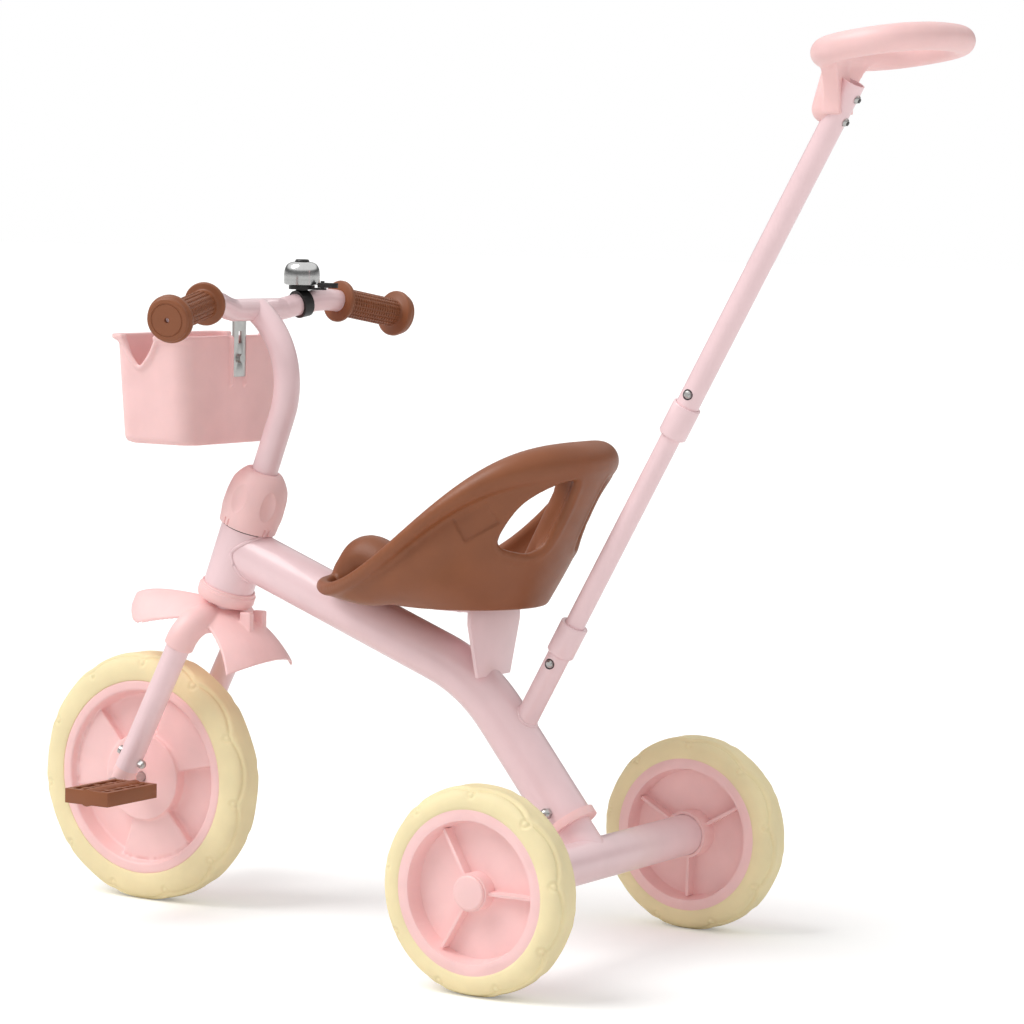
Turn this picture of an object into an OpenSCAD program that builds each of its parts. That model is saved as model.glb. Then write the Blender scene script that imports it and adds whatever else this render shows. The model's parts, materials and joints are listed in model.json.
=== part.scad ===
// Toddler push-along trike, an assembly of separate pieces, in millimetres.
// Front faces -Y, the child's left is +X, up is +Z, origin on the floor under the middle of the box.

/* [Wheels] */
// Distance between the middles of the rear wheels
track = 400; // [380:1:420]
// Distance between the front and rear axles
wheelbase = 517.6; // [500:0.1:530]
// Radius of a rear tyre
rear_tyre_r = 95; // [92:0.5:98]
// Radius of the front tyre
front_tyre_r = 125.4; // [122:0.2:128]
// Radius of a rear rim where the tyre sits
rear_rim_r = 75; // [72:0.5:77]
// Radius of the front rim where the tyre sits
front_rim_r = 98; // [95:0.5:100]
// Half the width of a tyre
tyre_half_w = 20; // [19.5:0.5:22]
// Half the width of a rim
rim_half_w = 19; // [17:0.5:19]
// Width of the flat lip round a rim
rim_lip = 10; // [7:0.5:12]
// Diameter of the rear axle rod
rod_d = 10; // [8:0.5:12]
// Diameter of the front wheel hub boss
front_boss_d = 88; // [80:1:92]

/* [Frame] */
// Diameter of the bent main tube
main_d = 49; // [47:0.5:50]
// Wall of the frame tubes
tube_wall = 3; // [2.5:0.25:3.5]
// Slope of the rear end of the main tube
main_rear_slope = 51; // [49:0.5:53]
// Slope of the front end of the main tube
main_front_slope = 20.5; // [19:0.5:22]
// Bend radius of the main tube
main_bend_r = 165; // [150:1:180]
// Diameter of the cross tube over the rear axle
axle_tube_d = 40; // [39:0.5:41]
// Diameter of the head tube
head_d = 51; // [50.5:0.5:52]
// Length of the head tube
head_len = 70; // [68:1:71]
// Backward lean of the steering axis
head_lean = 19.5; // [18:0.25:21]
// How far the foot of the head tube is ahead of the rear axle
head_ahead = 427; // [420:0.5:434]
// Height of the foot of the head tube
head_z = 318; // [312:0.5:324]

/* [Push pole] */
// Backward lean of the push pole
pole_lean = 28.5; // [27:0.25:30]
// Diameter of the lower pole
lower_pole_d = 19; // [18:0.25:19.5]
// Diameter of the upper pole and of the socket
upper_pole_d = 22; // [21.5:0.25:23]
// Diameter of the plastic collars on the pole
collar_d = 27; // [26:0.25:28.5]
// Mean radius of the handle ring
ring_r = 59; // [56:0.5:62]
// Thickness of the handle ring
ring_d = 25; // [23:0.5:27]
// Upward tilt of the handle ring
ring_tilt = 10; // [6:0.5:14]

/* [Steering] */
// Diameter of the fork tubes
leg_d = 24; // [23:0.5:25]
// Distance of a fork leg from the middle
leg_x = 50; // [47:0.5:52]
// Diameter of the stem
stem_d = 26; // [25:0.5:27]
// Bend radius of the stem
stem_bend_r = 90; // [86:1:95]
// Diameter of the handlebar
bar_d = 22; // [21:0.5:23]
// Diameter of the barrel of a grip
grip_d = 28; // [27:0.5:30]
// Widest diameter of the lock knob
knob_d = 62; // [60:0.5:63]
// Throw of the cranks
crank_r = 40; // [38:0.5:44]
// Length of a pedal
pedal_len = 79; // [74:1:82]
// Depth of a pedal, front to back
pedal_w = 52; // [48:1:56]

/* [Seat and basket] */
// Height of the flat underside of the seat
seat_z = 328; // [324:0.5:332]
// Half the width of the seat at its rim
seat_half_w = 101; // [98:0.5:104]
// Half the width of the basket at its top
basket_half_w = 87; // [82:0.5:92]
// Height of the basket
basket_h = 102; // [96:1:106]

/* [Hidden] */
$fn = 48;
// Clearances and the overrun of every cut
run_clear = 0.05;
slip_clear = 0.3;
over = 1;
half_share = 0.5;
bend_fn = 120;

// Layout, with the rear axle at y zero until everything is moved to the origin
handle_y = 290;
handle_z = 855;
ring_hr = ring_d * half_share;
rear_most = handle_y + ring_r * cos(ring_tilt) + ring_hr;
front_most = -wheelbase - front_tyre_r;
origin_y = (rear_most + front_most) * half_share;
head_y = -head_ahead;

// Main tube: the two straight lines meet at a corner rounded by the bend
joint_s = 47;
joint_y = head_y + joint_s * sin(head_lean);
joint_z = head_z + joint_s * cos(head_lean);
corner_run = (joint_z - rear_tyre_r + joint_y * tan(main_front_slope))
    / (sin(main_rear_slope) - tan(main_front_slope) * cos(main_rear_slope));
bend_angle = main_rear_slope - main_front_slope;
bend_cut = main_bend_r * tan(bend_angle * half_share);
front_run = (-corner_run * cos(main_rear_slope) - joint_y) / cos(main_front_slope);
main_in = main_d - 2 * tube_wall;
main_start = 44;
bore_into_bend = 18;
bend_swell = 0.1;
flange_h = 8;
flange_d = main_d + 6;
spigot_h = 20;
stub_d = 38;
stub_end = 78;
frame_bolt_s = 56;
frame_bolt_d = 6;

// Rear axle
boss_proud = 3;
boss_recess = 8;
tube_end_gap = 1.5;
axle_half = track * half_share - rim_half_w - boss_proud + boss_recess - tube_end_gap;
axle_in = axle_tube_d - 2 * tube_wall;
plug_len = 12;
rod_end_gap = 6;
rod_half = track * half_share + rim_half_w - rod_end_gap;
outer_boss_d = 35;
inner_boss_d = 46;
cap_d = 32;
cap_h = 3;
boss_top = 17;
pocket_d = 23;
pocket_s = 8;
washer_d = 18;
washer_h = 2;
washer_s = 9;
web_half = 2;
barrel_share = 0.95;
rib_w = 3;
rib_h = 13;
rib_count = 3;
rib_step = 360 / rib_count;
left_rib_turn = 0;
right_rib_turn = 30;

// Front wheel
panel_h = 12;
panel_angle = 60;
panel_turn = 12;
front_boss_h = 17;

// Tyre section: share of the half width, share of the height
tyre_shares = [[0.95, 0], [0.99, 0.12], [1, 0.35], [0.94, 0.6], [0.81, 0.79], [0.6, 0.925],
    [0.35, 0.985], [0, 1]];

// Head and steering
head_in = head_d - 2 * tube_wall;
steerer_d = 32;
steerer_top = 112;
cup_d = head_d + 7;
cup_step_d = head_d + 4;
cup_low = 8;
cup_high = 7;
bush_h = 12;
bush_flange_h = 1.5;
knob_s = head_len + bush_flange_h + slip_clear;
knob_h = 59;
stem_low = 40;
stem_straight = 190;
stem_bend = 73.5;
stem_cy = head_y + stem_straight * sin(head_lean) - stem_bend_r * cos(head_lean);
stem_cz = head_z + stem_straight * cos(head_lean) + stem_bend_r * sin(head_lean);
bar_y = stem_cy + stem_bend_r * cos(stem_bend - head_lean);
bar_z = stem_cz + stem_bend_r * sin(stem_bend - head_lean);

// Fork
crown_s = 27;
crown_y = head_y - crown_s * sin(head_lean);
crown_z = head_z - crown_s * cos(head_lean);
leg_lean = atan2(crown_y + wheelbase, crown_z - front_tyre_r);
leg_reach = norm([crown_y + wheelbase, crown_z - front_tyre_r]);
leg_bend_r = 24;
leg_wall = 2;
leg_in = leg_d - 2 * leg_wall;
leg_gap = 16;
leg_end = leg_reach - leg_gap;
tip_plug = 26;
tip_half_w = 9;
tip_r = 11.5;
tip_bolt_s = leg_end - 12;
small_bolt_d = 5;
small_head_d = 9;
small_head_h = 3.5;
sleeve_d = 30;
sleeve_run = 5;

// Cranks and pedals
crank_d = 10;
crank_bend_r = 7;
crank_out = 20;
crank_x = leg_x + crank_out;
pedal_out = 9;
pedal_x = crank_x + pedal_out;
pedal_h = 14;
pedal_rib = 3;
pedal_hub_d = 17;
pedal_edge = 5;
pedal_rows = 3;

// Push pole
pole_y = -41.7;
pole_z = 284;
socket_low = -105;
socket_top = 22;
button_low_s = -7;
collar_low_s = 3;
collar_len = 33;
socket_in_collar = 19;
step_s = collar_low_s + socket_in_collar;
pole_low_end = -40;
upper_start = 258;
collar_up_s = 244;
button_up_s = 289;
lower_top = 320;
upper_top = 614;
pole_wall = 1.25;
button_d = 7.3;
button_travel = 3;
button_proud = 2;
button_lip_d = 9.4;
button_lip_h = 1.5;
button_lip_x = 4.4;

// Colours
steel_pink = [0.95, 0.80, 0.82];
plastic_pink = [0.95, 0.72, 0.74];
cream = [0.97, 0.92, 0.74];
brown = [0.48, 0.27, 0.17];
bright = [0.78, 0.78, 0.80];
dark = [0.08, 0.08, 0.09];

// Placing
module to_origin() translate([0, -origin_y, 0]) children();
module along_x() rotate([90, 0, 90]) children();
module axle_frame() translate([0, 0, rear_tyre_r]) rotate([90 - main_rear_slope, 0, 0]) children();
module head_frame() translate([0, head_y, head_z]) rotate([-head_lean, 0, 0]) children();
module fork_frame() translate([0, crown_y, crown_z]) rotate([-leg_lean, 0, 0]) children();
module pole_frame() translate([0, pole_y, pole_z]) rotate([-pole_lean, 0, 0]) children();
module bar_frame() translate([0, bar_y, bar_z]) children();
module both_sides() {
    children();
    mirror([1, 0, 0]) children();
}
module left_wheel_frame() translate([track * half_share, 0, rear_tyre_r]) along_x() children();
module right_wheel_frame() mirror([1, 0, 0]) left_wheel_frame() children();
module front_wheel_frame() translate([0, -wheelbase, front_tyre_r]) along_x() children();

// A bend starts at the origin along +Z and turns towards -Y
module bend(radius, angle, d) translate([0, -radius, 0]) along_x()
    rotate_extrude(angle = angle, $fn = bend_fn) translate([radius, 0]) circle(d = d);
module after_bend(radius, angle) translate([0, -radius, 0]) rotate([angle, 0, 0])
    translate([0, radius, 0]) children();
// A round rod between two points
module rod_at(p, q) {
    v = q - p;
    translate(p) rotate([0, acos(v[2] / norm(v)), atan2(v[1], v[0])]) children();
}
module span(low, high, d) translate([0, 0, low]) cylinder(d = d, h = high - low);
module cut_span(low, high, d) span(low - over, high + over, d);

// Main tube
module hollow_span(low, high, d, wall) difference() {
    span(low, high, d);
    cut_span(low, high, d - 2 * wall);
}
module hollow_bend(radius, angle, d, wall) translate([0, -radius, 0]) along_x()
    rotate_extrude(angle = angle, $fn = bend_fn) translate([radius, 0]) difference() {
        circle(d = d);
        circle(d = d - 2 * wall);
    }
module main_front(d, low) axle_frame() translate([0, 0, corner_run - bend_cut])
    after_bend(main_bend_r, bend_angle) span(low, front_run - bend_cut, d);
module main_path(d, start) {
    axle_frame() span(start, corner_run - bend_cut, d);
    axle_frame() translate([0, 0, corner_run - bend_cut]) bend(main_bend_r, bend_angle, d + bend_swell);
    main_front(d, 0);
}
module frame_bolt_shank(reach) axle_frame() translate([0, 0, frame_bolt_s]) rotate([0, 90, 0])
    span(-reach, reach, frame_bolt_d);
module main_tube() color(steel_pink) to_origin() difference() {
    main_path(main_d, main_start);
    axle_frame() span(main_start - over, corner_run - bend_cut + bore_into_bend, main_in);
    main_front(main_in, -bore_into_bend);
    head_frame() span(-main_d, head_len + main_d, head_d);
    frame_bolt_shank(main_d);
}
module head_tube() color(steel_pink) to_origin() head_frame() difference() {
    span(0, head_len, head_d);
    cut_span(0, head_len, head_in);
}

// Rear axle tube with the stub that carries the main tube
module axle_tube() color(steel_pink) to_origin() difference() {
    union() {
        translate([0, 0, rear_tyre_r]) rotate([0, 90, 0])
            cylinder(d = axle_tube_d, h = 2 * axle_half, center = true);
        axle_frame() span(0, stub_end, stub_d);
    }
    translate([0, 0, rear_tyre_r]) rotate([0, 90, 0])
        cylinder(d = axle_in, h = 2 * (axle_half + over), center = true);
    frame_bolt_shank(main_d);
}
module tube_collar() color(plastic_pink) to_origin() difference() {
    axle_frame() difference() {
        union() {
            span(main_start - flange_h, main_start, flange_d);
            span(main_start, main_start + spigot_h, main_in);
        }
        cut_span(main_start - flange_h, main_start + spigot_h, stub_d);
    }
    frame_bolt_shank(main_d);
}
bolt_head_d = 11;
bolt_head_h = 4;
nut_d = 11;
nut_h = 5;
nut_dome_h = 4;
hex_sides = 6;
module dome_nut(d, h, dome) {
    cylinder(d = d, h = h, $fn = hex_sides);
    translate([0, 0, h]) rotate_extrude() intersection() {
        translate([0, dome - d * half_share]) circle(d = d);
        square([d, dome]);
    }
}
module frame_bolt() color(bright) to_origin() {
    frame_bolt_shank(main_d * half_share);
    axle_frame() translate([0, 0, frame_bolt_s]) rotate([0, 90, 0]) {
        translate([0, 0, main_d * half_share]) dome_nut(nut_d, nut_h, nut_dome_h);
        translate([0, 0, -main_d * half_share - bolt_head_h]) cylinder(d = bolt_head_d, h = bolt_head_h);
    }
}
module axle_rod() color(bright) to_origin() translate([0, 0, rear_tyre_r]) rotate([0, 90, 0])
    cylinder(d = rod_d, h = 2 * rod_half, center = true);
module axle_plugs() color(dark) to_origin() both_sides() translate([axle_half - plug_len, 0, rear_tyre_r])
    rotate([0, 90, 0]) difference() {
        cylinder(d = axle_in, h = plug_len);
        cut_span(0, plug_len, rod_d);
    }
module axle_washers() color(bright) to_origin() both_sides() left_wheel_frame() difference() {
    span(washer_s, washer_s + washer_h, washer_d);
    cut_span(washer_s, washer_s + washer_h, rod_d);
}

// Head bearings
module lower_bearing_cup() color(plastic_pink) to_origin() head_frame() difference() {
    rotate_extrude() polygon([[0, -cup_low], [cup_step_d * half_share, -cup_low],
        [cup_d * half_share, -cup_low * half_share], [cup_d * half_share, cup_high * half_share],
        [cup_step_d * half_share, cup_high * half_share], [cup_step_d * half_share, cup_high], [0, cup_high]]);
    difference() {
        span(0, cup_high + over, head_d);
        cut_span(-over, bush_h, head_in);
    }
    cut_span(-cup_low, bush_h, steerer_d + 2 * run_clear);
}
module upper_bearing() color(dark) to_origin() head_frame() difference() {
    union() {
        span(head_len - bush_h, head_len, head_in);
        span(head_len, head_len + bush_flange_h, head_d);
    }
    cut_span(head_len - bush_h, head_len + bush_flange_h, steerer_d + 2 * run_clear);
}

// Seat bracket: a folded plate whose cheeks clasp the main tube
bracket_y = -104.5;
bracket_top_w = 54;
bracket_low_w = 32;
bracket_low_z = 262;
bracket_fold_z = 306;
bracket_half_w = 21;
bracket_t = 3;
module bracket_outline() polygon([[-bracket_top_w * half_share, seat_z], [bracket_top_w * half_share, seat_z],
    [bracket_top_w * half_share, bracket_fold_z], [bracket_low_w * half_share, bracket_low_z],
    [-bracket_low_w * half_share, bracket_low_z], [-bracket_top_w * half_share, bracket_fold_z]]);
seat_screw_d = 5;
seat_screw_x = 10;
seat_screw_y = 15;
screw_head_d = 10;
screw_head_h = 3;
seat_screw_up = 5;
module seat_screw_places() for (x = [-seat_screw_x, seat_screw_x]) translate([x, bracket_y + sign(x) * seat_screw_y, seat_z])
    children();
module seat_bracket() color(steel_pink) to_origin() difference() {
    translate([-bracket_half_w, bracket_y, 0]) along_x() linear_extrude(2 * bracket_half_w) bracket_outline();
    translate([-bracket_half_w + bracket_t, bracket_y - bracket_top_w, bracket_low_z - bracket_top_w])
        cube([2 * (bracket_half_w - bracket_t), 2 * bracket_top_w,
            seat_z - bracket_t - bracket_low_z + bracket_top_w]);
    main_path(main_d, main_start);
    seat_screw_places() cylinder(d = seat_screw_d, h = 2 * bracket_top_w, center = true);
}
module seat_screws() color(bright) to_origin() seat_screw_places() {
    span(-bracket_t, seat_screw_up, seat_screw_d);
    span(-bracket_t - screw_head_h, -bracket_t, screw_head_d);
}

// Push pole, its collars and snap buttons
module pole_button_hole(s, d) pole_frame() translate([0, 0, s]) rotate([0, 90, 0])
    cylinder(d = d, h = upper_pole_d);
module pole_socket() color(steel_pink) to_origin() difference() {
    pole_frame() span(socket_low, step_s, upper_pole_d);
    main_path(main_d, main_start);
    pole_frame() cut_span(socket_low, step_s, upper_pole_d - 2 * pole_wall);
    pole_button_hole(button_low_s, button_d + 2 * run_clear);
}
module lower_pole() color(steel_pink) to_origin() difference() {
    pole_frame() span(pole_low_end, lower_top, lower_pole_d);
    pole_frame() cut_span(pole_low_end, lower_top, lower_pole_d - 2 * pole_wall);
    pole_button_hole(button_low_s, button_d + 2 * run_clear);
    pole_button_hole(button_up_s, button_d + 2 * run_clear);
}
handle_screw_s = [579, 602];
handle_screw_d = 4;
pan_d = 9;
pan_h = 3;
module handle_screw_places() pole_frame() for (s = handle_screw_s) translate([0, 0, s]) rotate([-90, 0, 0])
    children();
module upper_pole() color(steel_pink) to_origin() difference() {
    pole_frame() span(upper_start, upper_top, upper_pole_d);
    pole_frame() cut_span(upper_start, upper_top, upper_pole_d - 2 * pole_wall);
    pole_button_hole(button_up_s, button_d + 2 * run_clear);
    handle_screw_places() span(-upper_pole_d, upper_pole_d, handle_screw_d);
}
collar_edge = 1.5;
module collar(low) rotate_extrude() polygon([[0, low], [collar_d * half_share - collar_edge, low],
    [collar_d * half_share, low + collar_edge], [collar_d * half_share, low + collar_len], [0, low + collar_len]]);
module lower_collar() color(steel_pink) to_origin() pole_frame() difference() {
    collar(collar_low_s);
    span(collar_low_s - over, step_s, upper_pole_d);
    cut_span(step_s, collar_low_s + collar_len, lower_pole_d);
}
module upper_collar() color(steel_pink) to_origin() pole_frame() difference() {
    collar(collar_up_s);
    span(upper_start, collar_up_s + collar_len + over, upper_pole_d);
    cut_span(collar_up_s, upper_start, lower_pole_d);
}
module snap_button(s) color(bright) to_origin() pole_frame() translate([0, 0, s]) rotate([0, 90, 0]) {
    tip = upper_pole_d * half_share + button_proud;
    span(button_lip_x, button_lip_x + button_lip_h, button_lip_d);
    span(button_lip_x, tip - button_travel * half_share, button_d);
    translate([0, 0, tip - button_travel * half_share])
        cylinder(d1 = button_d, d2 = button_d - button_travel, h = button_travel * half_share);
}
module lower_snap_button() snap_button(button_low_s);
module upper_snap_button() snap_button(button_up_s);

// Push handle: a ring on a round neck, with the front of the ring's wall drawn down into the neck
neck_ball_d = 33;
neck_ball_s = 573;
neck_ball_y = -5;
neck_top_d = 24;
neck_low_y = pole_y + neck_ball_s * sin(pole_lean) + neck_ball_y * cos(pole_lean);
neck_low_z = pole_z + neck_ball_s * cos(pole_lean) - neck_ball_y * sin(pole_lean);
neck_high_y = handle_y - ring_r * cos(ring_tilt);
neck_high_z = handle_z - ring_r * sin(ring_tilt);
neck_len = norm([neck_high_y - neck_low_y, neck_high_z - neck_low_z]);
neck_lean = atan2(neck_high_y - neck_low_y, neck_high_z - neck_low_z);
fan_low_z = 790;
fan_low_half_w = 11;
fan_r = 62;
fan_end = 110;
fan_wall_share = 0.85;
recess_h = 9;
pole_reach = 15;
module ring_frame() translate([0, handle_y, handle_z]) rotate([ring_tilt, 0, 0]) children();
module handle_ring() ring_frame() rotate_extrude($fn = 64) translate([ring_r, 0]) circle(d = ring_d, $fn = 32);
module handle_neck() translate([0, neck_low_y, neck_low_z]) rotate([-neck_lean, 0, 0]) rotate_extrude($fn = 48)
    polygon(concat(
        [for (a = [-90:15:0]) neck_ball_d * half_share * [cos(a), sin(a)]],
        [[neck_top_d * half_share, neck_len], [0, neck_len]]));
function fan_edge(side) = [for (a = [180:-10:fan_end])
    [side * (fan_low_half_w + fan_r * (1 + cos(a))), fan_low_z + fan_r * sin(a)]];
function turned(points) = [for (i = [1:len(points)]) points[len(points) - i]];
module handle_fan() intersection() {
    translate([0, handle_y, 0]) rotate([90, 0, 0]) linear_extrude(2 * ring_r)
        polygon(concat(fan_edge(1), turned(fan_edge(-1))));
    ring_frame() translate([0, 0, -2 * ring_r]) difference() {
        cylinder(r = ring_r + ring_hr * fan_wall_share, h = 2 * ring_r);
        translate([0, 0, -over]) cylinder(r = ring_r - ring_hr * fan_wall_share, h = 2 * (ring_r + over));
    }
}
module push_handle() color(plastic_pink) to_origin() difference() {
    union() {
        handle_ring();
        handle_neck();
        handle_fan();
    }
    pole_frame() {
        span(upper_start, upper_top, upper_pole_d);
        translate([-neck_ball_d, 0, upper_start])
            cube([2 * neck_ball_d, 2 * neck_ball_d, upper_top - upper_start - recess_h]);
        translate([-upper_pole_d * half_share, -over, upper_top - recess_h - over])
            cube([upper_pole_d, 2 * neck_ball_d, 2 * recess_h]);
    }
    handle_screw_places() span(-upper_pole_d, upper_pole_d, handle_screw_d);
}
module handle_screws() color(bright) to_origin() handle_screw_places() {
    span(-pole_reach, upper_pole_d * half_share, handle_screw_d);
    translate([0, 0, upper_pole_d * half_share]) rotate_extrude() intersection() {
        translate([0, pan_h - pan_d * half_share]) circle(d = pan_d);
        square([pan_d, pan_h]);
    }
}

// Fork
module crown_path(d, half) rotate([0, 90, 0]) translate([0, 0, -half]) cylinder(d = d, h = 2 * half);
module leg_bend(d) translate([leg_x - leg_bend_r, 0, 0]) along_x() bend(leg_bend_r, 90, d);
module fork_outer() {
    head_frame() span(-crown_s, steerer_top, steerer_d);
    fork_frame() {
        crown_path(leg_d, leg_x - leg_bend_r);
        both_sides() {
            leg_bend(leg_d);
            translate([leg_x, 0, 0]) span(-leg_end, -leg_bend_r, leg_d);
        }
    }
}
module tip_bolt_places() fork_frame() both_sides() translate([leg_x, 0, -tip_bolt_s]) rotate([90, 0, 0])
    children();
module fork() color(steel_pink) to_origin() difference() {
    fork_outer();
    head_frame() span(0, steerer_top + over, stem_d);
    fork_frame() both_sides() translate([leg_x, 0, 0]) span(-leg_end - over, -leg_end + tip_plug, leg_in);
    tip_bolt_places() span(-leg_d, leg_d, small_bolt_d);
}
module fork_tips() color(plastic_pink) to_origin() difference() {
    fork_frame() both_sides() translate([leg_x, 0, 0]) {
        span(-leg_end, -leg_end + tip_plug, leg_in);
        span(-leg_reach, -leg_end, leg_d);
        translate([-tip_half_w - over, 0, -leg_reach]) rotate([0, 90, 0])
            cylinder(r = tip_r, h = 2 * (tip_half_w + over));
    }
    translate([0, -wheelbase, front_tyre_r]) rotate([0, 90, 0])
        cylinder(d = crank_d + 2 * run_clear, h = track, center = true);
    tip_bolt_places() span(-leg_d, leg_d, small_bolt_d);
}
small_nut_h = 4;
small_dome_h = 3;
module fork_tip_bolts() color(bright) to_origin() tip_bolt_places() {
    span(-leg_d * half_share, leg_d * half_share, small_bolt_d);
    translate([0, 0, leg_d * half_share]) cylinder(d = small_head_d, h = small_head_h);
    rotate([180, 0, 0]) translate([0, 0, leg_d * half_share]) dome_nut(small_head_d, small_nut_h, small_dome_h);
}

// Stem and handlebar
stem_wall = 2;
module stem() color(steel_pink) to_origin() difference() {
    head_frame() {
        hollow_span(stem_low, stem_straight, stem_d, stem_wall);
        translate([0, 0, stem_straight]) hollow_bend(stem_bend_r, stem_bend, stem_d, stem_wall);
    }
    bar_frame() crown_path(bar_d, bar_straight);
}
bar_straight = 40;
bar_inset = 4;
bar_steps = 6;
bar_sides = 24;
// Corner points of the curve from the straight middle of the bar to a grip, and the outer end of the grip
bar_from = [bar_straight, 0, 0];
bar_pull = [62, 1, 3];
bar_lead = [85, 13.6, 12.2];
bar_to = [108, 18.6, 8.6];
bar_end = [200, 38.5, -6.5];
function bar_curve(t) = pow(1 - t, 3) * bar_from + 3 * t * pow(1 - t, 2) * bar_pull + 3 * t * t * (1 - t) * bar_lead
    + pow(t, 3) * bar_to;
bar_points = concat([for (k = [0 : bar_steps]) bar_curve(k / bar_steps)], [bar_end]);
grip_last = bar_steps;
grip_run = bar_points[grip_last + 1] - bar_points[grip_last];
grip_len = norm(grip_run);
bar_half = concat([for (k = [0 : bar_steps]) bar_points[k]], [bar_end - grip_run * bar_inset / grip_len]);
bar_path = concat([for (k = [len(bar_half) - 1 : -1 : 0]) [-bar_half[k][0], bar_half[k][1], bar_half[k][2]]], bar_half);
function unit(v) = v / norm(v);
function bar_ring(k) = let (last = len(bar_path) - 1,
    t = unit(bar_path[min(k + 1, last)] - bar_path[max(k - 1, 0)]), u = unit(cross(t, [0, 0, 1])), v = cross(t, u))
    [for (j = [0 : bar_sides - 1]) let (a = 360 * j / bar_sides)
        bar_path[k] + bar_d * half_share * (cos(a) * u + sin(a) * v)];
module bar_solid() bar_frame() loft([for (k = [0 : len(bar_path) - 1]) bar_ring(k)]);
module handlebar() color(steel_pink) to_origin() bar_solid();

// Grips
grip_start = 4;
grip_flange_d = 42;
grip_flange_h = 5;
grip_end_d = 46;
grip_step_d = 42;
grip_end_h = 6;
grip_hole_d = 5;
module grip() bar_frame() rod_at(bar_points[grip_last], bar_points[grip_last + 1]) difference() {
    union() {
        span(grip_start, grip_len, grip_d);
        span(grip_start, grip_start + grip_flange_h, grip_flange_d);
        span(grip_len - 2 * grip_end_h, grip_len - grip_end_h, grip_end_d);
        span(grip_len - grip_end_h, grip_len, grip_step_d);
    }
    span(grip_start - over, grip_len - bar_inset, bar_d);
    cut_span(grip_start, grip_len, grip_hole_d);
}
module left_grip() color(brown) to_origin() grip();
module right_grip() color(brown) to_origin() mirror([1, 0, 0]) grip();

// Bell
bell_leg = 2;
bell_middle = (bar_points[bell_leg] + bar_points[bell_leg + 1]) * half_share;
bell_span = norm(bar_points[bell_leg + 1] - bar_points[bell_leg]);
clamp_w = 11;
clamp_d = 28;
lug_d = 12;
base_low = 14;
base_h = 4;
base_d = 26;
arm_w = 8;
post_d = 6;
dome_d = 36;
dome_low = 19.5;
dome_h = 22;
dome_t = 1.5;
dome_shares = [[1, 0], [1, 0.45], [0.95, 0.66], [0.82, 0.85], [0.64, 0.96], [0.46, 1]];
bell_cap_d = 15;
bell_cap_h = 2.5;
pivot_y = 25;
pivot_d = 4;
pivot_hub_d = 10;
lever_h = 5;
lever_len = 14;
lever_w = 7;
module bell_frame() bar_frame() mirror([1, 0, 0]) translate(bell_middle) children();
module bell_clamp() color(dark) to_origin() difference() {
    union() {
        bar_frame() mirror([1, 0, 0]) rod_at(bar_points[bell_leg], bar_points[bell_leg + 1])
            span((bell_span - clamp_w) * half_share, (bell_span + clamp_w) * half_share, clamp_d);
        bell_frame() span(0, base_low, lug_d);
    }
    bar_solid();
}
module bell_base() color(dark) to_origin() difference() {
    bell_frame() {
        span(base_low, base_low + base_h, base_d);
        span(base_low, dome_low + dome_h + bell_cap_h * half_share, post_d);
        translate([-arm_w * half_share, 0, base_low]) cube([arm_w, pivot_y, base_h * half_share]);
        translate([0, pivot_y, 0]) span(base_low, base_low + base_h * half_share, arm_w);
        translate([0, pivot_y, 0]) span(base_low, base_low + base_h + lever_h, pivot_d);
    }
    bar_frame() mirror([1, 0, 0]) rod_at(bar_points[bell_leg], bar_points[bell_leg + 1])
        cut_span(0, bell_span, clamp_d);
}
function dome_curve(r, h) = [for (p = dome_shares) [p[0] * r, dome_low + p[1] * h]];
module dome_fill(r, h) rotate_extrude() polygon(concat([[0, dome_low]], dome_curve(r, h), [[0, dome_low + h]]));
module bell_dome() color(bright) to_origin() bell_frame() difference() {
    dome_fill(dome_d * half_share, dome_h);
    translate([0, 0, -over]) dome_fill(dome_d * half_share - dome_t, dome_h - dome_t + over);
    span(dome_low, dome_low + dome_h + over, post_d);
}
module bell_cap() color(dark) to_origin() bell_frame() difference() {
    translate([0, 0, dome_low + dome_h])
        cylinder(d1 = bell_cap_d, d2 = bell_cap_d - bell_cap_h, h = bell_cap_h);
    span(dome_low, dome_low + dome_h + bell_cap_h * half_share, post_d);
}
lever_low = base_low + base_h * half_share + slip_clear;
module bell_striker() color(dark) to_origin() bell_frame() translate([0, pivot_y, 0]) difference() {
    union() {
        span(lever_low, lever_low + lever_h, pivot_hub_d);
        translate([-lever_w * half_share, 0, lever_low]) cube([lever_w, lever_len, lever_h]);
        translate([0, lever_len, 0]) span(lever_low, lever_low + lever_h, lever_w + over);
    }
    cut_span(lever_low, lever_low + lever_h, pivot_d + 2 * run_clear);
}

// Lock knob on the steering axis
knob_shares = [[0.91, 0], [0.93, 0.12], [1, 0.46], [0.99, 0.6], [0.9, 0.76], [0.74, 0.86], [0.62, 0.9],
    [0.6, 0.93], [0.6, 1]];
dimple_r = 15;
dimple_in = 3;
dimple_share = 0.5;
dimple_count = 6;
module lock_knob() color(plastic_pink) to_origin() head_frame() difference() {
    rotate_extrude() polygon(concat([[0, knob_s]],
        [for (p = knob_shares) [p[0] * knob_d * half_share, knob_s + p[1] * knob_h]], [[0, knob_s + knob_h]]));
    cut_span(knob_s, steerer_top + slip_clear, steerer_d + 2 * run_clear);
    cut_span(steerer_top, knob_s + knob_h, stem_d + 2 * slip_clear);
    for (k = [0 : dimple_count - 1]) rotate([0, 0, k * 360 / dimple_count])
        translate([knob_d * half_share + dimple_r - dimple_in, 0, knob_s + knob_h * dimple_share])
            sphere(r = dimple_r);
}

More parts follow.
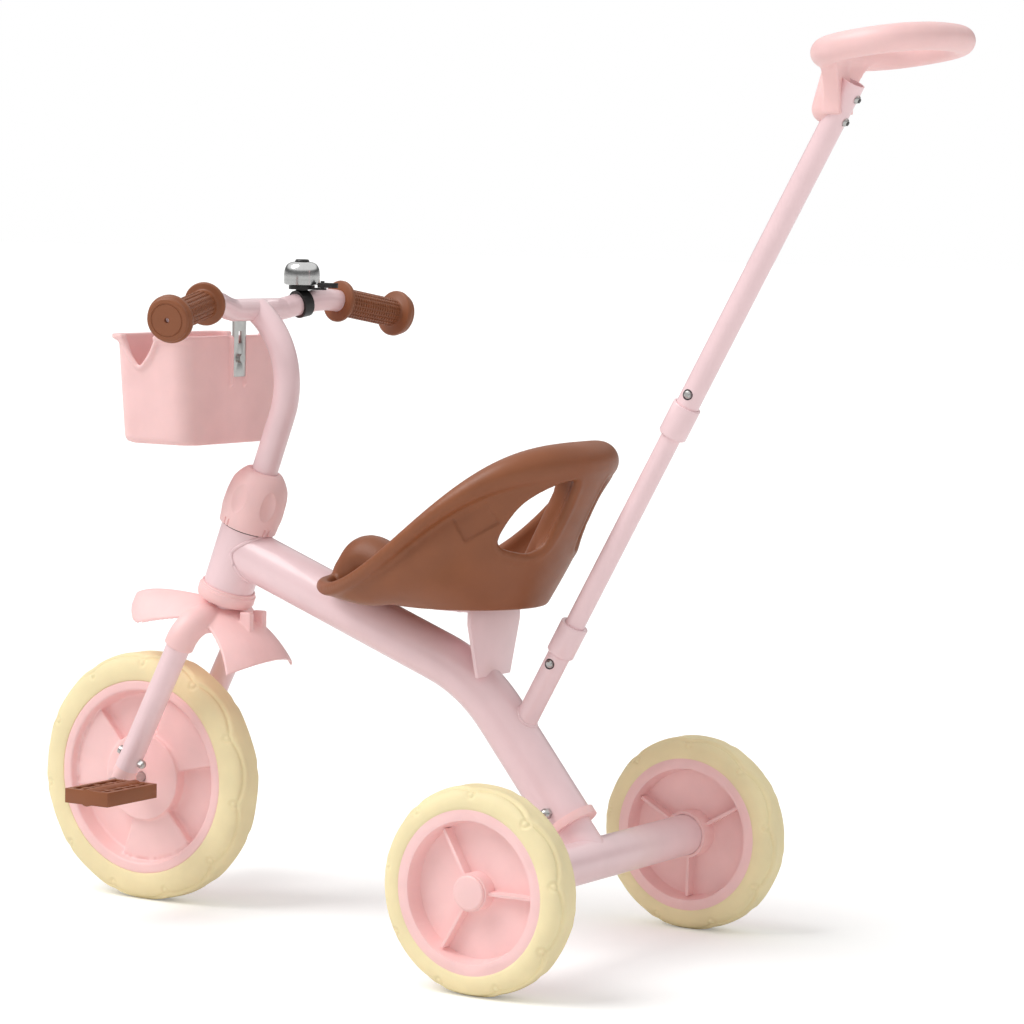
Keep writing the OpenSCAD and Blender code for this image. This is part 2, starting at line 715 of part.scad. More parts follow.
// Mudguard: a crowned sheet with sleeves over the fork
guard_t = 3;
guard_across = 10;
nose_len = 106;
nose_rise = 5;
nose_drop = 18;
nose_half_w = 31;
nose_tip_share = 0.5;
nose_sag = 20;
crown_half_w = 34;
crown_sag = 13;
fin_r = 110;
fin_from = 15;
fin_to = 66;
fin_half_w = 53;
fin_sag = 17;
nose_rows = 7;
fin_rows = 7;
tip_power = 5;
crown_top = sleeve_d * half_share - crown_s;
guard_y = head_y + crown_top * sin(head_lean);
guard_z = head_z + crown_top * cos(head_lean);
function mix(a, b, u) = a + (b - a) * u;
function nose_row(u) = [guard_y - nose_len * (1 - u), guard_z + nose_rise * sin(180 * u) - nose_drop * pow(1 - u, tip_power),
    fin_from * u, mix(nose_half_w, crown_half_w, u) * (1 - nose_tip_share * pow(1 - u, tip_power)),
    mix(nose_sag, crown_sag, u) * (1 - nose_tip_share * pow(1 - u, tip_power))];
function fin_row(u) = let (a = mix(fin_from, fin_to, u)) [guard_y + fin_r * (sin(a) - sin(fin_from)),
    guard_z + fin_r * (cos(a) - cos(fin_from)), a, mix(crown_half_w, fin_half_w, u), mix(crown_sag, fin_sag, u)];
guard_rows = concat([for (k = [0 : nose_rows - 1]) nose_row(k / nose_rows)],
    [for (k = [0 : fin_rows]) fin_row(k / fin_rows)]);
function guard_point(row, j, t) = let (u = 2 * j / guard_across - 1, drop = row[4] * u * u + t)
    [row[3] * u, row[0] - drop * sin(row[2]), row[1] - drop * cos(row[2])];
module guard_sheet() {
    n = guard_across + 1;
    m = len(guard_rows);
    outer = [for (row = guard_rows, j = [0 : guard_across]) guard_point(row, j, 0)];
    inner = [for (row = guard_rows, j = [0 : guard_across]) guard_point(row, j, guard_t)];
    b = n * m;
    e = n * (m - 1);
    polyhedron(points = concat(outer, inner), convexity = 6, faces = concat(
        [for (i = [0 : m - 2], j = [0 : n - 2]) [i * n + j, i * n + n + j, i * n + n + j + 1, i * n + j + 1]],
        [for (i = [0 : m - 2], j = [0 : n - 2])
            [b + i * n + j, b + i * n + j + 1, b + i * n + n + j + 1, b + i * n + n + j]],
        [for (i = [0 : m - 2]) [i * n + n, i * n, b + i * n, b + i * n + n]],
        [for (i = [0 : m - 2]) [i * n + n - 1, i * n + 2 * n - 1, b + i * n + 2 * n - 1, b + i * n + n - 1]],
        [for (j = [0 : n - 2]) [j, j + 1, b + j + 1, b + j]],
        [for (j = [0 : n - 2]) [e + j + 1, e + j, b + e + j, b + e + j + 1]]));
}
module mudguard() color(plastic_pink) to_origin() difference() {
    union() {
        guard_sheet();
        fork_frame() {
            crown_path(sleeve_d, leg_x - leg_bend_r);
            both_sides() {
                leg_bend(sleeve_d);
                translate([leg_x, 0, 0]) span(-leg_bend_r - sleeve_run, -leg_bend_r, sleeve_d);
            }
        }
    }
    fork_outer();
    head_frame() span(-crown_s, head_len, steerer_d);
}

// Wheels
module tyre(r, rim) {
    half = [for (p = tyre_shares) [rim + p[1] * (r - rim), p[0] * tyre_half_w]];
    count = len(half);
    rotate_extrude($fn = 72) polygon(concat(half, [for (k = [count - 2 : -1 : 0]) [half[k][0], -half[k][1]]]));
}
module rim_body(r) {
    inner = r - rim_lip;
    rotate_extrude($fn = 72) polygon([[inner, rim_half_w], [r, rim_half_w], [r, -rim_half_w], [inner, -rim_half_w],
        [inner * barrel_share, -web_half], [inner * barrel_share, web_half]]);
    span(-web_half, web_half, 2 * inner);
}
module rib_ring(turn) for (k = [0 : rib_count - 1]) rotate([0, 0, turn + k * rib_step])
    translate([0, -rib_w * half_share, 0]) cube([(rear_rim_r - rim_lip) * barrel_share, rib_w, rib_h]);
module rear_rim(turn) difference() {
    union() {
        rim_body(rear_rim_r);
        span(0, boss_top, outer_boss_d);
        span(-rim_half_w - boss_proud, 0, inner_boss_d);
        rib_ring(turn);
        mirror([0, 0, 1]) rib_ring(turn);
    }
    cut_span(-rim_half_w - boss_proud, boss_top, rod_d + 2 * run_clear);
    span(pocket_s, boss_top + over, pocket_d);
    span(-rim_half_w - boss_proud - over, -rim_half_w - boss_proud + boss_recess, axle_tube_d + 2 * slip_clear);
}
module hub_cap() rotate_extrude() polygon([[0, boss_top], [cap_d * half_share, boss_top],
    [cap_d * half_share, boss_top + cap_h * half_share], [cap_d * half_share - cap_h * half_share, boss_top + cap_h],
    [0, boss_top + cap_h]]);
module left_tyre() color(cream) to_origin() left_wheel_frame() tyre(rear_tyre_r, rear_rim_r);
module right_tyre() color(cream) to_origin() right_wheel_frame() tyre(rear_tyre_r, rear_rim_r);
module left_rim() color(plastic_pink) to_origin() left_wheel_frame() rear_rim(left_rib_turn);
module right_rim() color(plastic_pink) to_origin() right_wheel_frame() rear_rim(right_rib_turn);
module left_hub_cap() color(plastic_pink) to_origin() left_wheel_frame() hub_cap();
module right_hub_cap() color(plastic_pink) to_origin() right_wheel_frame() hub_cap();
module front_tyre() color(cream) to_origin() front_wheel_frame() tyre(front_tyre_r, front_rim_r);
module front_rim() color(plastic_pink) to_origin() front_wheel_frame() difference() {
    union() {
        rim_body(front_rim_r);
        span(-front_boss_h, front_boss_h, front_boss_d);
        for (k = [0 : rib_count - 1]) rotate([0, 0, panel_turn + k * rib_step])
            rotate_extrude(angle = panel_angle, $fn = 72) translate([front_boss_d * half_share - over, -panel_h])
                square([(front_rim_r - rim_lip) * barrel_share - front_boss_d * half_share + over, 2 * panel_h]);
    }
    cut_span(-front_boss_h, front_boss_h, crank_d);
}

// Cranks and pedals
spindle_end = 4.5;
pedal_end_wall = 3;
spindle_len = pedal_x + pedal_len - spindle_end - crank_x - crank_bend_r;
module half_crank() translate([0, 0, crank_x - crank_bend_r]) rotate([0, 0, 90]) {
    bend(crank_bend_r, 90, crank_d);
    after_bend(crank_bend_r, 90) {
        span(0, crank_r - 2 * crank_bend_r, crank_d);
        translate([0, 0, crank_r - 2 * crank_bend_r]) rotate([0, 0, 180]) {
            bend(crank_bend_r, 90, crank_d);
            after_bend(crank_bend_r, 90) span(0, spindle_len, crank_d);
        }
    }
}
module crank() color(bright) to_origin() front_wheel_frame() {
    span(-crank_x + crank_bend_r, crank_x - crank_bend_r, crank_d);
    half_crank();
    rotate([0, 180, 0]) half_crank();
}
module box_at(size, z) translate([-size[0] * half_share, -size[1] * half_share, z]) cube(size);
module pedal() translate([crank_r, 0, 0]) difference() {
    union() {
        difference() {
            box_at([pedal_w, pedal_h, pedal_len], pedal_x);
            box_at([pedal_w - 2 * pedal_edge, pedal_h + 2 * over, pedal_len - 2 * pedal_edge], pedal_x + pedal_edge);
        }
        for (k = [1 : pedal_rows]) box_at([pedal_w, pedal_h - over, pedal_rib],
            pedal_x + k * pedal_len / (pedal_rows + 1) - pedal_rib * half_share);
        for (k = [-1, 1]) translate([k * pedal_w * half_share * half_share, 0, 0])
            box_at([pedal_rib, pedal_h - over, pedal_len - pedal_edge], pedal_x + pedal_edge * half_share);
        span(pedal_x, pedal_x + pedal_len, pedal_hub_d);
    }
    span(pedal_x - over, pedal_x + pedal_len - pedal_end_wall, crank_d + 2 * run_clear);
}
module left_pedal() color(brown) to_origin() front_wheel_frame() pedal();
module right_pedal() color(brown) to_origin() front_wheel_frame() rotate([0, 180, 0]) pedal();

// A solid through closed rings of points, each ring anticlockwise from above
module loft(rings) {
    n = len(rings[0]);
    last = n * (len(rings) - 1);
    polyhedron(points = [for (ring = rings, p = ring) p], convexity = 8, faces = concat(
        [for (k = [0 : len(rings) - 2], j = [0 : n - 1]) let (i = (j + 1) % n)
            [k * n + j, k * n + n + j, k * n + n + i, k * n + i]],
        [[for (j = [0 : n - 1]) j]], [[for (j = [n - 1 : -1 : 0]) last + j]]));
}

// Seat
seat_mid_y = -140;
seat_back = 136;
seat_front = 148;
seat_base_mid = -148;
seat_base_half_w = 70;
seat_base_half_l = 87;
seat_roll = 8;
seat_wall = 4;
seat_low_z = 345;
seat_rise = 146;
rise_from = -268;
rise_run = 276;
seat_points = 48;
plan_power_x = 0.8;
plan_power_y = 0.9;
roll_angles = [-110, -60, -15, 30, 75, 120, 165, 200];
function spow(v, p) = sign(v) * pow(abs(v), p);
function seat_angle(j) = 360 * j / seat_points;
function smooth(u) = u <= 0 ? 0 : u >= 1 ? 1 : (1 - cos(180 * u)) * half_share;
function rim_xy(j) = let (a = seat_angle(j)) [(seat_half_w - seat_roll) * spow(cos(a), plan_power_x),
    seat_mid_y + (sin(a) > 0 ? seat_back : seat_front) * spow(sin(a), plan_power_y)];
function rim_z(j) = seat_low_z - seat_roll + seat_rise * smooth((rim_xy(j)[1] - rise_from) / rise_run);
function base_xy(j, inset) = let (a = seat_angle(j)) [(seat_base_half_w - inset) * spow(cos(a), plan_power_x),
    seat_base_mid + (seat_base_half_l - inset) * spow(sin(a), plan_power_y)];
function outward(j) = let (d = rim_xy(j) - [0, seat_mid_y]) d / norm(d);
function base_ring(inset, z) = [for (j = [0 : seat_points - 1]) let (p = base_xy(j, inset)) [p[0], p[1], z]];
function roll_ring(a) = [for (j = [0 : seat_points - 1]) let (p = rim_xy(j) + outward(j) * seat_roll * cos(a))
    [p[0], p[1], rim_z(j) + seat_roll * sin(a)]];
seat_edge = 3;
seat_rings = concat([base_ring(seat_edge, seat_z), base_ring(0, seat_z + seat_edge)],
    [for (a = roll_angles) roll_ring(a)], [base_ring(seat_wall, seat_z + seat_wall)]);
pommel_d = 48;
pommel_spots = [[-272, 345], [-256, 362], [-222, 346]];
pommel_fn = 24;
hole_corners = [[-55, 401], [-13, 400], [7, 446], [2, 450], [-36, 431]];
hole_round = 6;
hole_from = 28;
module seat() color(brown) to_origin() difference() {
    union() {
        loft(seat_rings);
        intersection() {
            hull($fn = pommel_fn) for (p = pommel_spots) translate([0, p[0], p[1]]) sphere(d = pommel_d);
            translate([-track * half_share, -wheelbase, seat_z + seat_edge]) cube([track, wheelbase, track]);
        }
    }
    both_sides() translate([hole_from, 0, 0]) along_x() linear_extrude(seat_half_w)
        offset(r = hole_round, $fn = 24) polygon(hole_corners);
    seat_screw_places() span(-over, seat_screw_up, seat_screw_d);
    main_front(main_d + 2 * slip_clear, 0);
}

// Basket
basket_back = -418;
basket_front = -503;
basket_low = 473;
basket_wall = 3;
basket_lip = 5;
basket_taper = 5;
basket_round = 18;
basket_edge = 6;
corner_steps = 5;
lip_h = 4;
function corner_ring(hx, y0, y1, r, z) = [for (c = [[1, 1], [-1, 1], [-1, -1], [1, -1]], k = [0 : corner_steps])
    let (first = c == [1, 1] ? 0 : c == [-1, 1] ? 90 : c == [-1, -1] ? 180 : 270, a = first + 90 * k / corner_steps)
    [c[0] * (hx - r) + r * cos(a), (c[1] > 0 ? y1 - r : y0 + r) + r * sin(a), z]];
function basket_ring(grow, inset, z) = corner_ring(basket_half_w - basket_taper + grow - inset,
    basket_front - grow + inset, basket_back - inset, basket_round - inset, z);
basket_top = basket_low + basket_h;
edge_share = 0.3;
basket_rings = [basket_ring(-basket_edge, 0, basket_low),
    basket_ring(-basket_edge * edge_share, 0, basket_low + basket_edge * edge_share),
    basket_ring(0, 0, basket_low + basket_edge), basket_ring(basket_taper, 0, basket_top - lip_h - lip_h),
    basket_ring(basket_taper + basket_lip, 0, basket_top - lip_h), basket_ring(basket_taper + basket_lip, 0, basket_top),
    basket_ring(basket_taper, basket_wall, basket_top), basket_ring(0, basket_wall, basket_low + basket_edge),
    basket_ring(-basket_edge * half_share, basket_wall, basket_low + basket_wall)];
notch = [[-474, 541], [-462, 552], [-448, 590], [-499, 590], [-484, 552]];
strap_w = 20;
strap_t = 2.5;
strap_low = 533;
strap_top = 597;
strap_hole_z = 551;
strap_slot_z = 566;
strap_slot_h = 12;
strap_rib_w = 3;
strap_rib_low = 524;
strap_tab = 15;
module basket_hole() translate([0, basket_back, strap_hole_z]) rotate([90, 0, 0])
    cylinder(d = small_bolt_d, h = 4 * basket_wall, center = true);
module basket() color(plastic_pink) to_origin() difference() {
    union() {
        loft(basket_rings);
        for (k = [-1, 1]) translate([k * (strap_w + strap_rib_w) * half_share - strap_rib_w * half_share,
            basket_back - basket_wall * half_share, strap_rib_low])
            cube([strap_rib_w, basket_wall * half_share + strap_t + over, basket_top - strap_rib_low]);
    }
    translate([-track * half_share, 0, 0]) along_x() linear_extrude(track) polygon(notch);
    basket_hole();
}
module basket_bracket() color(bright) to_origin() difference() {
    translate([-strap_w * half_share, basket_back, strap_low]) {
        cube([strap_w, strap_t, strap_top - strap_low]);
        translate([0, 0, strap_top - strap_low - strap_t]) cube([strap_w, strap_tab, strap_t]);
    }
    bar_solid();
    basket_hole();
    translate([-small_bolt_d * half_share, basket_back - over, strap_slot_z])
        cube([small_bolt_d, strap_t + 2 * over, strap_slot_h]);
}
module basket_screw() color(bright) to_origin() translate([0, basket_back, strap_hole_z]) rotate([-90, 0, 0]) {
    span(-basket_wall, strap_t, small_bolt_d);
    span(strap_t, strap_t + small_head_h, small_head_d);
}

main_tube();
head_tube();
axle_tube();
tube_collar();
frame_bolt();
pole_socket();
seat_bracket();
axle_rod();
axle_plugs();
axle_washers();
lower_bearing_cup();
upper_bearing();
seat();
seat_screws();
lower_pole();
lower_collar();
upper_pole();
upper_collar();
push_handle();
handle_screws();
lower_snap_button();
upper_snap_button();
fork();
mudguard();
fork_tips();
fork_tip_bolts();
lock_knob();
stem();
handlebar();
left_grip();
right_grip();
bell_clamp();
bell_base();
bell_dome();
bell_cap();
bell_striker();
basket_bracket();
basket();
basket_screw();
front_tyre();
front_rim();
crank();
left_pedal();
right_pedal();
left_tyre();
left_rim();
left_hub_cap();
right_tyre();
right_rim();
right_hub_cap();
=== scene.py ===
import json
import math

import bmesh
import bpy
import numpy as np
from mathutils import Matrix, Vector

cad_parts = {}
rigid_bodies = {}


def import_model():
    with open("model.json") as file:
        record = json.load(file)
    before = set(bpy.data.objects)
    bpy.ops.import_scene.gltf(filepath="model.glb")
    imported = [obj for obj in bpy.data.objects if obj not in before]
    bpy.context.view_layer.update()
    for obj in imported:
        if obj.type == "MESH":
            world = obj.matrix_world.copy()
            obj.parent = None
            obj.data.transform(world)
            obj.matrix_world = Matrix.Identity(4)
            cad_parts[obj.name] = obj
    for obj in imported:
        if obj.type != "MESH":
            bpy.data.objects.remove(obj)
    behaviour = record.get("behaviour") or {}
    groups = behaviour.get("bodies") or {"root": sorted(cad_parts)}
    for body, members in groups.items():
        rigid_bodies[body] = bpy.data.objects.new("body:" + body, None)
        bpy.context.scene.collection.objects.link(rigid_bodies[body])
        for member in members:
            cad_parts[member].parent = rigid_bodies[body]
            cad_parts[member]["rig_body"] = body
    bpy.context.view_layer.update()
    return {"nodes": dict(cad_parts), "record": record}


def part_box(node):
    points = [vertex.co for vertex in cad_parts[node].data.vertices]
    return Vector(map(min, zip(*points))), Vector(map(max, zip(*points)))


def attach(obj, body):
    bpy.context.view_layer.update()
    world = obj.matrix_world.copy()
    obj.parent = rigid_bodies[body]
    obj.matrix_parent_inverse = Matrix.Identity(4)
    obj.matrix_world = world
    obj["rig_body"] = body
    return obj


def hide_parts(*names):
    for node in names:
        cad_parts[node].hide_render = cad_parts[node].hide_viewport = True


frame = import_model()
nodes = frame["nodes"]

# The plain materials of the loaded frame go, because the scene brings its own
for plain in list(bpy.data.materials):
    bpy.data.materials.remove(plain)

MM = 0.001
WHITE = (1.0, 1.0, 1.0, 1.0)

# Colours, as sRGB shares of 255
STEEL_PINK = (244, 212, 215)
PLASTIC_PINK = (249, 205, 203)
CREAM = (242, 226, 180)
BROWN = (139, 80, 46)
ZINC = (190, 190, 188)
CHROME = (205, 205, 204)
BLACK = (26, 25, 25)
FLOOR = (244, 244, 243)


def linear(colour):
    """Scene-linear RGBA of an sRGB colour."""
    def one(c):
        c = c / 255
        return c / 12.92 if c <= 0.04045 else ((c + 0.055) / 1.055) ** 2.4
    return tuple(one(c) for c in colour) + (1.0,)


# Materials

TONE_ENDS = (0.3, 0.7)
GLOSS_SPREAD = 0.15
GLOSS_PATCH = 0.4
COAT_ROUGH = 0.12
SCATTER_DEPTH = (0.006, 0.003, 0.002)


def material(name, colour, rough, metallic=0.0, mottle=0.05, patch=0.03, grain=0.0012, bump=0.12,
             depth=0.0002, coat=0.0, subsurface=0.0):
    """Principled surface: a slow drift of tone, a patchy roughness and a fine grain, all at real size."""
    made = bpy.data.materials.new(name)
    made.use_nodes = True
    tree = made.node_tree
    link = tree.links.new
    shader = tree.nodes["Principled BSDF"]
    shader.inputs["Metallic"].default_value = metallic
    shader.inputs["Coat Weight"].default_value = coat
    shader.inputs["Coat Roughness"].default_value = COAT_ROUGH
    shader.inputs["Subsurface Weight"].default_value = subsurface
    shader.inputs["Subsurface Radius"].default_value = SCATTER_DEPTH
    place = tree.nodes.new("ShaderNodeTexCoord")

    def field(size, detail):
        noise = tree.nodes.new("ShaderNodeTexNoise")
        noise.inputs["Scale"].default_value = 1 / size
        noise.inputs["Detail"].default_value = detail
        link(place.outputs["Object"], noise.inputs["Vector"])
        return noise.outputs["Fac"]

    tone = tree.nodes.new("ShaderNodeValToRGB")
    base = linear(colour)[:3]
    for stop, position, share in zip(tone.color_ramp.elements, TONE_ENDS, (1 - mottle, 1 + mottle)):
        stop.position = position
        stop.color = tuple(min(c * share, 1.0) for c in base) + (1.0,)
    link(field(patch, 3), tone.inputs["Fac"])
    link(tone.outputs["Color"], shader.inputs["Base Color"])

    gloss = tree.nodes.new("ShaderNodeMapRange")
    gloss.inputs["To Min"].default_value = rough * (1 - GLOSS_SPREAD)
    gloss.inputs["To Max"].default_value = rough * (1 + GLOSS_SPREAD)
    link(field(patch * GLOSS_PATCH, 4), gloss.inputs["Value"])
    link(gloss.outputs["Result"], shader.inputs["Roughness"])

    relief = tree.nodes.new("ShaderNodeBump")
    relief.inputs["Strength"].default_value = bump
    relief.inputs["Distance"].default_value = depth
    link(field(grain, 2), relief.inputs["Height"])
    link(relief.outputs["Normal"], shader.inputs["Normal"])
    return made


MATERIALS = {made.name: made for made in (
    material("painted_steel", STEEL_PINK, 0.3, mottle=0.025, grain=0.003, bump=0.06, coat=0.35),
    material("pink_plastic", PLASTIC_PINK, 0.42, mottle=0.035, grain=0.0009, bump=0.1, subsurface=0.08),
    material("cream_tyre", CREAM, 0.62, mottle=0.04, grain=0.0007, bump=0.2, depth=0.0003,
             subsurface=0.06),
    material("brown_plastic", BROWN, 0.46, mottle=0.06, grain=0.0008, bump=0.22),
    material("bright_steel", ZINC, 0.3, metallic=1.0, mottle=0.06, patch=0.006, grain=0.0005, bump=0.1),
    material("bell_chrome", CHROME, 0.2, metallic=1.0, mottle=0.03, patch=0.01, grain=0.0004, bump=0.05),
    material("dark_plastic", BLACK, 0.4, mottle=0.1, grain=0.0008, bump=0.15),
)}

slot_of = {part["node"]: part["material_slot"] for part in frame["record"]["subparts"]}

# Angles, in degrees, over which an edge stays sharp
NODE_CREASE, TURNED_CREASE, BEVELLED_CREASE = 32, 50, 40
for node_name, node in nodes.items():
    node.data.materials.clear()
    node.data.materials.append(MATERIALS[slot_of[node_name]])
    node.data.shade_smooth()
    node.data.set_sharp_from_angle(angle=math.radians(NODE_CREASE))


# Mesh helpers

MERGE_WITHIN = 0.00002
BALL_STEPS = 16


def add_piece(name, mesh, slot, body, replaced=(), crease=None):
    """Shows a mesh as a piece of the object, riding on a body, with the finish of a record slot."""
    piece = bpy.data.objects.new(name, mesh)
    bpy.context.scene.collection.objects.link(piece)
    mesh.materials.clear()
    mesh.materials.append(MATERIALS[slot])
    mesh.shade_smooth()
    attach(piece, body)
    if replaced:
        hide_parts(*replaced)
    if crease:
        mesh.set_sharp_from_angle(angle=math.radians(crease))
    return piece


def stand_in(node, ending, mesh, crease=None):
    """Shows a mesh in place of a node, on the node's body and with its finish."""
    mesh.name = node + ending
    return add_piece(node + ending, mesh, slot_of[node], nodes[node]["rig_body"], [node], crease)


def smooth_curve(points, per_span):
    """Points on a Catmull-Rom curve through the given points, ends included."""
    points = [Vector(p) for p in points]
    ends = [2 * points[0] - points[1]] + points + [2 * points[-1] - points[-2]]
    curve = []
    for a, b, c, d in zip(ends, ends[1:], ends[2:], ends[3:]):
        for k in range(per_span):
            t = k / per_span
            curve.append(0.5 * (2 * b + (c - a) * t + (2 * a - 5 * b + 4 * c - d) * t * t
                                + (3 * b - a - 3 * c + d) * t ** 3))
    return curve + [points[-1]]


def smooth_profile(points, per_span):
    """The same curve through points of a flat profile."""
    return [(p.x, p.y) for p in smooth_curve([(r, along, 0) for r, along in points], per_span)]


def scaled(points, size):
    return [(r * size, along * size) for r, along in points]


def runs_along(profile):
    """Length along a flat profile up to each of its points."""
    runs = [0.0]
    for p, q in zip(profile, profile[1:]):
        runs.append(runs[-1] + math.hypot(q[0] - p[0], q[1] - p[1]))
    return runs


def closed_mesh(name, verts, faces):
    mesh = bpy.data.meshes.new(name)
    mesh.from_pydata(verts, [], faces)
    tidy_mesh(mesh)
    return mesh


def tidy_mesh(mesh):
    """Joins doubled points and turns every face outward."""
    work = bmesh.new()
    work.from_mesh(mesh)
    bmesh.ops.remove_doubles(work, verts=work.verts, dist=MERGE_WITHIN)
    bmesh.ops.recalc_face_normals(work, faces=work.faces)
    work.to_mesh(mesh)
    work.free()


def lathe(name, place, profile, steps, relief=None):
    """Turns (radius, along) points about the local Z of place; relief(angle, run) lifts the skin."""
    runs = runs_along(profile)
    count = len(profile)
    verts, faces = [], []
    for k in range(steps):
        angle = 2 * math.pi * k / steps
        for j, (r, along) in enumerate(profile):
            before, after = profile[max(j - 1, 0)], profile[min(j + 1, count - 1)]
            out, rise = after[1] - before[1], before[0] - after[0]
            size = math.hypot(out, rise) or 1.0
            lift = relief(angle, runs[j]) if relief else 0.0
            radius = r + lift * out / size
            verts.append(place @ Vector((radius * math.cos(angle), radius * math.sin(angle),
                                         along + lift * rise / size)))
        here, there = k * count, (k + 1) % steps * count
        for j in range(count - 1):
            faces.append((here + j, there + j, there + j + 1, here + j + 1))
    return closed_mesh(name, verts, faces)


def sweep(name, path, radius, sides=12):
    """A round rod along a path, closed on itself where the path ends at its start.

    radius is one size, or a list with one for each point of the path.
    """
    looped = (path[0] - path[-1]).length < 1e-6
    if looped:
        path = path[:-1]
    count = len(path)
    radii = radius if isinstance(radius, list) else [radius] * count
    verts, faces = [], []
    for k, point in enumerate(path):
        after = path[(k + 1) % count] if looped else path[min(k + 1, count - 1)]
        before = path[k - 1] if looped else path[max(k - 1, 0)]
        ahead = (after - before).normalized()
        aside = Vector((0, 0, 1)) if abs(ahead.z) < 0.9 else Vector((1, 0, 0))
        across = ahead.cross(aside).normalized()
        rise = across.cross(ahead)
        for j in range(sides):
            a = 2 * math.pi * j / sides
            verts.append(point + radii[k] * (math.cos(a) * across + math.sin(a) * rise))
    for k in range(count if looped else count - 1):
        here, there = k * sides, (k + 1) % count * sides
        for j in range(sides):
            i = (j + 1) % sides
            faces.append((here + j, here + i, there + i, there + j))
    if not looped:
        faces.append(tuple(range(sides)))
        faces.append(tuple(reversed(range((count - 1) * sides, count * sides))))
    return closed_mesh(name, verts, faces)


def loft(name, rings):
    """A closed solid through rings of points, all with the same count."""
    count, last = len(rings[0]), len(rings) - 1
    faces = []
    for here in range(0, last * count, count):
        for j in range(count):
            i = (j + 1) % count
            faces.append((here + j, here + i, here + count + i, here + count + j))
    faces += [tuple(range(count)), tuple(range(last * count, (last + 1) * count))]
    return closed_mesh(name, [p for ring in rings for p in ring], faces)


def sheet_of(name, outer, inner):
    """A closed plate between two grids of points of the same size."""
    rows, across = len(outer), len(outer[0])
    verts = [p for row in outer for p in row] + [p for row in inner for p in row]
    far = rows * across
    faces = []
    for i in range(rows - 1):
        for j in range(across - 1):
            here, there = i * across + j, (i + 1) * across + j
            quad = (here, here + 1, there + 1, there)
            faces += [quad, tuple(far + k for k in reversed(quad))]
    edge = (list(range(across)) + [i * across + across - 1 for i in range(1, rows)]
            + [(rows - 1) * across + j for j in reversed(range(across - 1))]
            + [i * across for i in reversed(range(1, rows - 1))])
    for p, q in zip(edge, edge[1:] + edge[:1]):
        faces.append((p, q, far + q, far + p))
    return closed_mesh(name, verts, faces)


def ball(name, centre, radius):
    turns = [math.pi * k / BALL_STEPS for k in range(BALL_STEPS + 1)]
    arc = [(radius * math.sin(turn), -radius * math.cos(turn)) for turn in turns]
    return lathe(name, Matrix.Translation(centre), arc, 2 * BALL_STEPS)


def joined(name, meshes):
    """One mesh holding all the given ones."""
    work = bmesh.new()
    for mesh in meshes:
        work.from_mesh(mesh)
    mesh = bpy.data.meshes.new(name)
    work.to_mesh(mesh)
    work.free()
    return mesh


def middle_and_reach(node):
    low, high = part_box(node)
    return (low + high) / 2, (high - low) / 2


# Tyres: a moulded foam ring with a scalloped line round each shoulder and a small dimple at each cusp

# Half of the section, as shares of the half width and of the height over the rim
TYRE_HALF = [(0.95, 0), (0.99, 0.12), (1, 0.35), (0.94, 0.6), (0.81, 0.79), (0.6, 0.925), (0.35, 0.985),
             (0, 1)]
TYRE_SPAN_STEPS, STEPS_PER_CUSP = 6, 48
TYRE_SUNK, TYRE_FOOT = 0.5 * MM, 0.9
SCALLOP_GROOVE, SCALLOP_WIDTH, SCALLOP_POWER = 1.6 * MM, 1.5 * MM, 0.8
SHOULDER_OUT, SHOULDER_UP, SCALLOP_SWING = 0.56, 0.3, 0.36
SWELL_SHARE = 0.5
DIMPLE_R, DIMPLE_SHARE, DIMPLE_OFF = 3.6 * MM, 0.8, 0.4
DIMPLE_OUTWARD, DIMPLE_INWARD = 0.8, 1.1


def bell_curve(value, width):
    return math.exp(-(value / width) ** 2)


def scallops(cusps, radius, run, shoulder, swing):
    """Relief of a tyre: grooves that swing from the shoulder toward the crown between evenly spaced cusps."""
    def relief(angle, along):
        from_crown = abs(along - run / 2)
        half_step = 0.5 if along > run / 2 else 0.0
        phase = (angle * cusps / (2 * math.pi) + half_step) % 1.0
        gap = from_crown - (shoulder - swing * math.sin(math.pi * phase) ** SCALLOP_POWER)
        across = min(phase, 1 - phase) * 2 * math.pi / cusps * radius
        fade = SCALLOP_GROOVE * min(1.0, across / (2 * DIMPLE_R))
        groove = -fade * bell_curve(gap, SCALLOP_WIDTH)
        swell = SWELL_SHARE * fade * bell_curve(gap + 3 * SCALLOP_WIDTH, 2 * SCALLOP_WIDTH)
        stretch = DIMPLE_OUTWARD if from_crown > shoulder else DIMPLE_INWARD
        reach = math.hypot(across, (from_crown - shoulder - DIMPLE_R * DIMPLE_OFF) * stretch)
        dimple = -DIMPLE_SHARE * SCALLOP_GROOVE * bell_curve(reach - DIMPLE_R,
                                                             DIMPLE_SHARE * SCALLOP_WIDTH)
        return groove + swell + dimple
    return relief


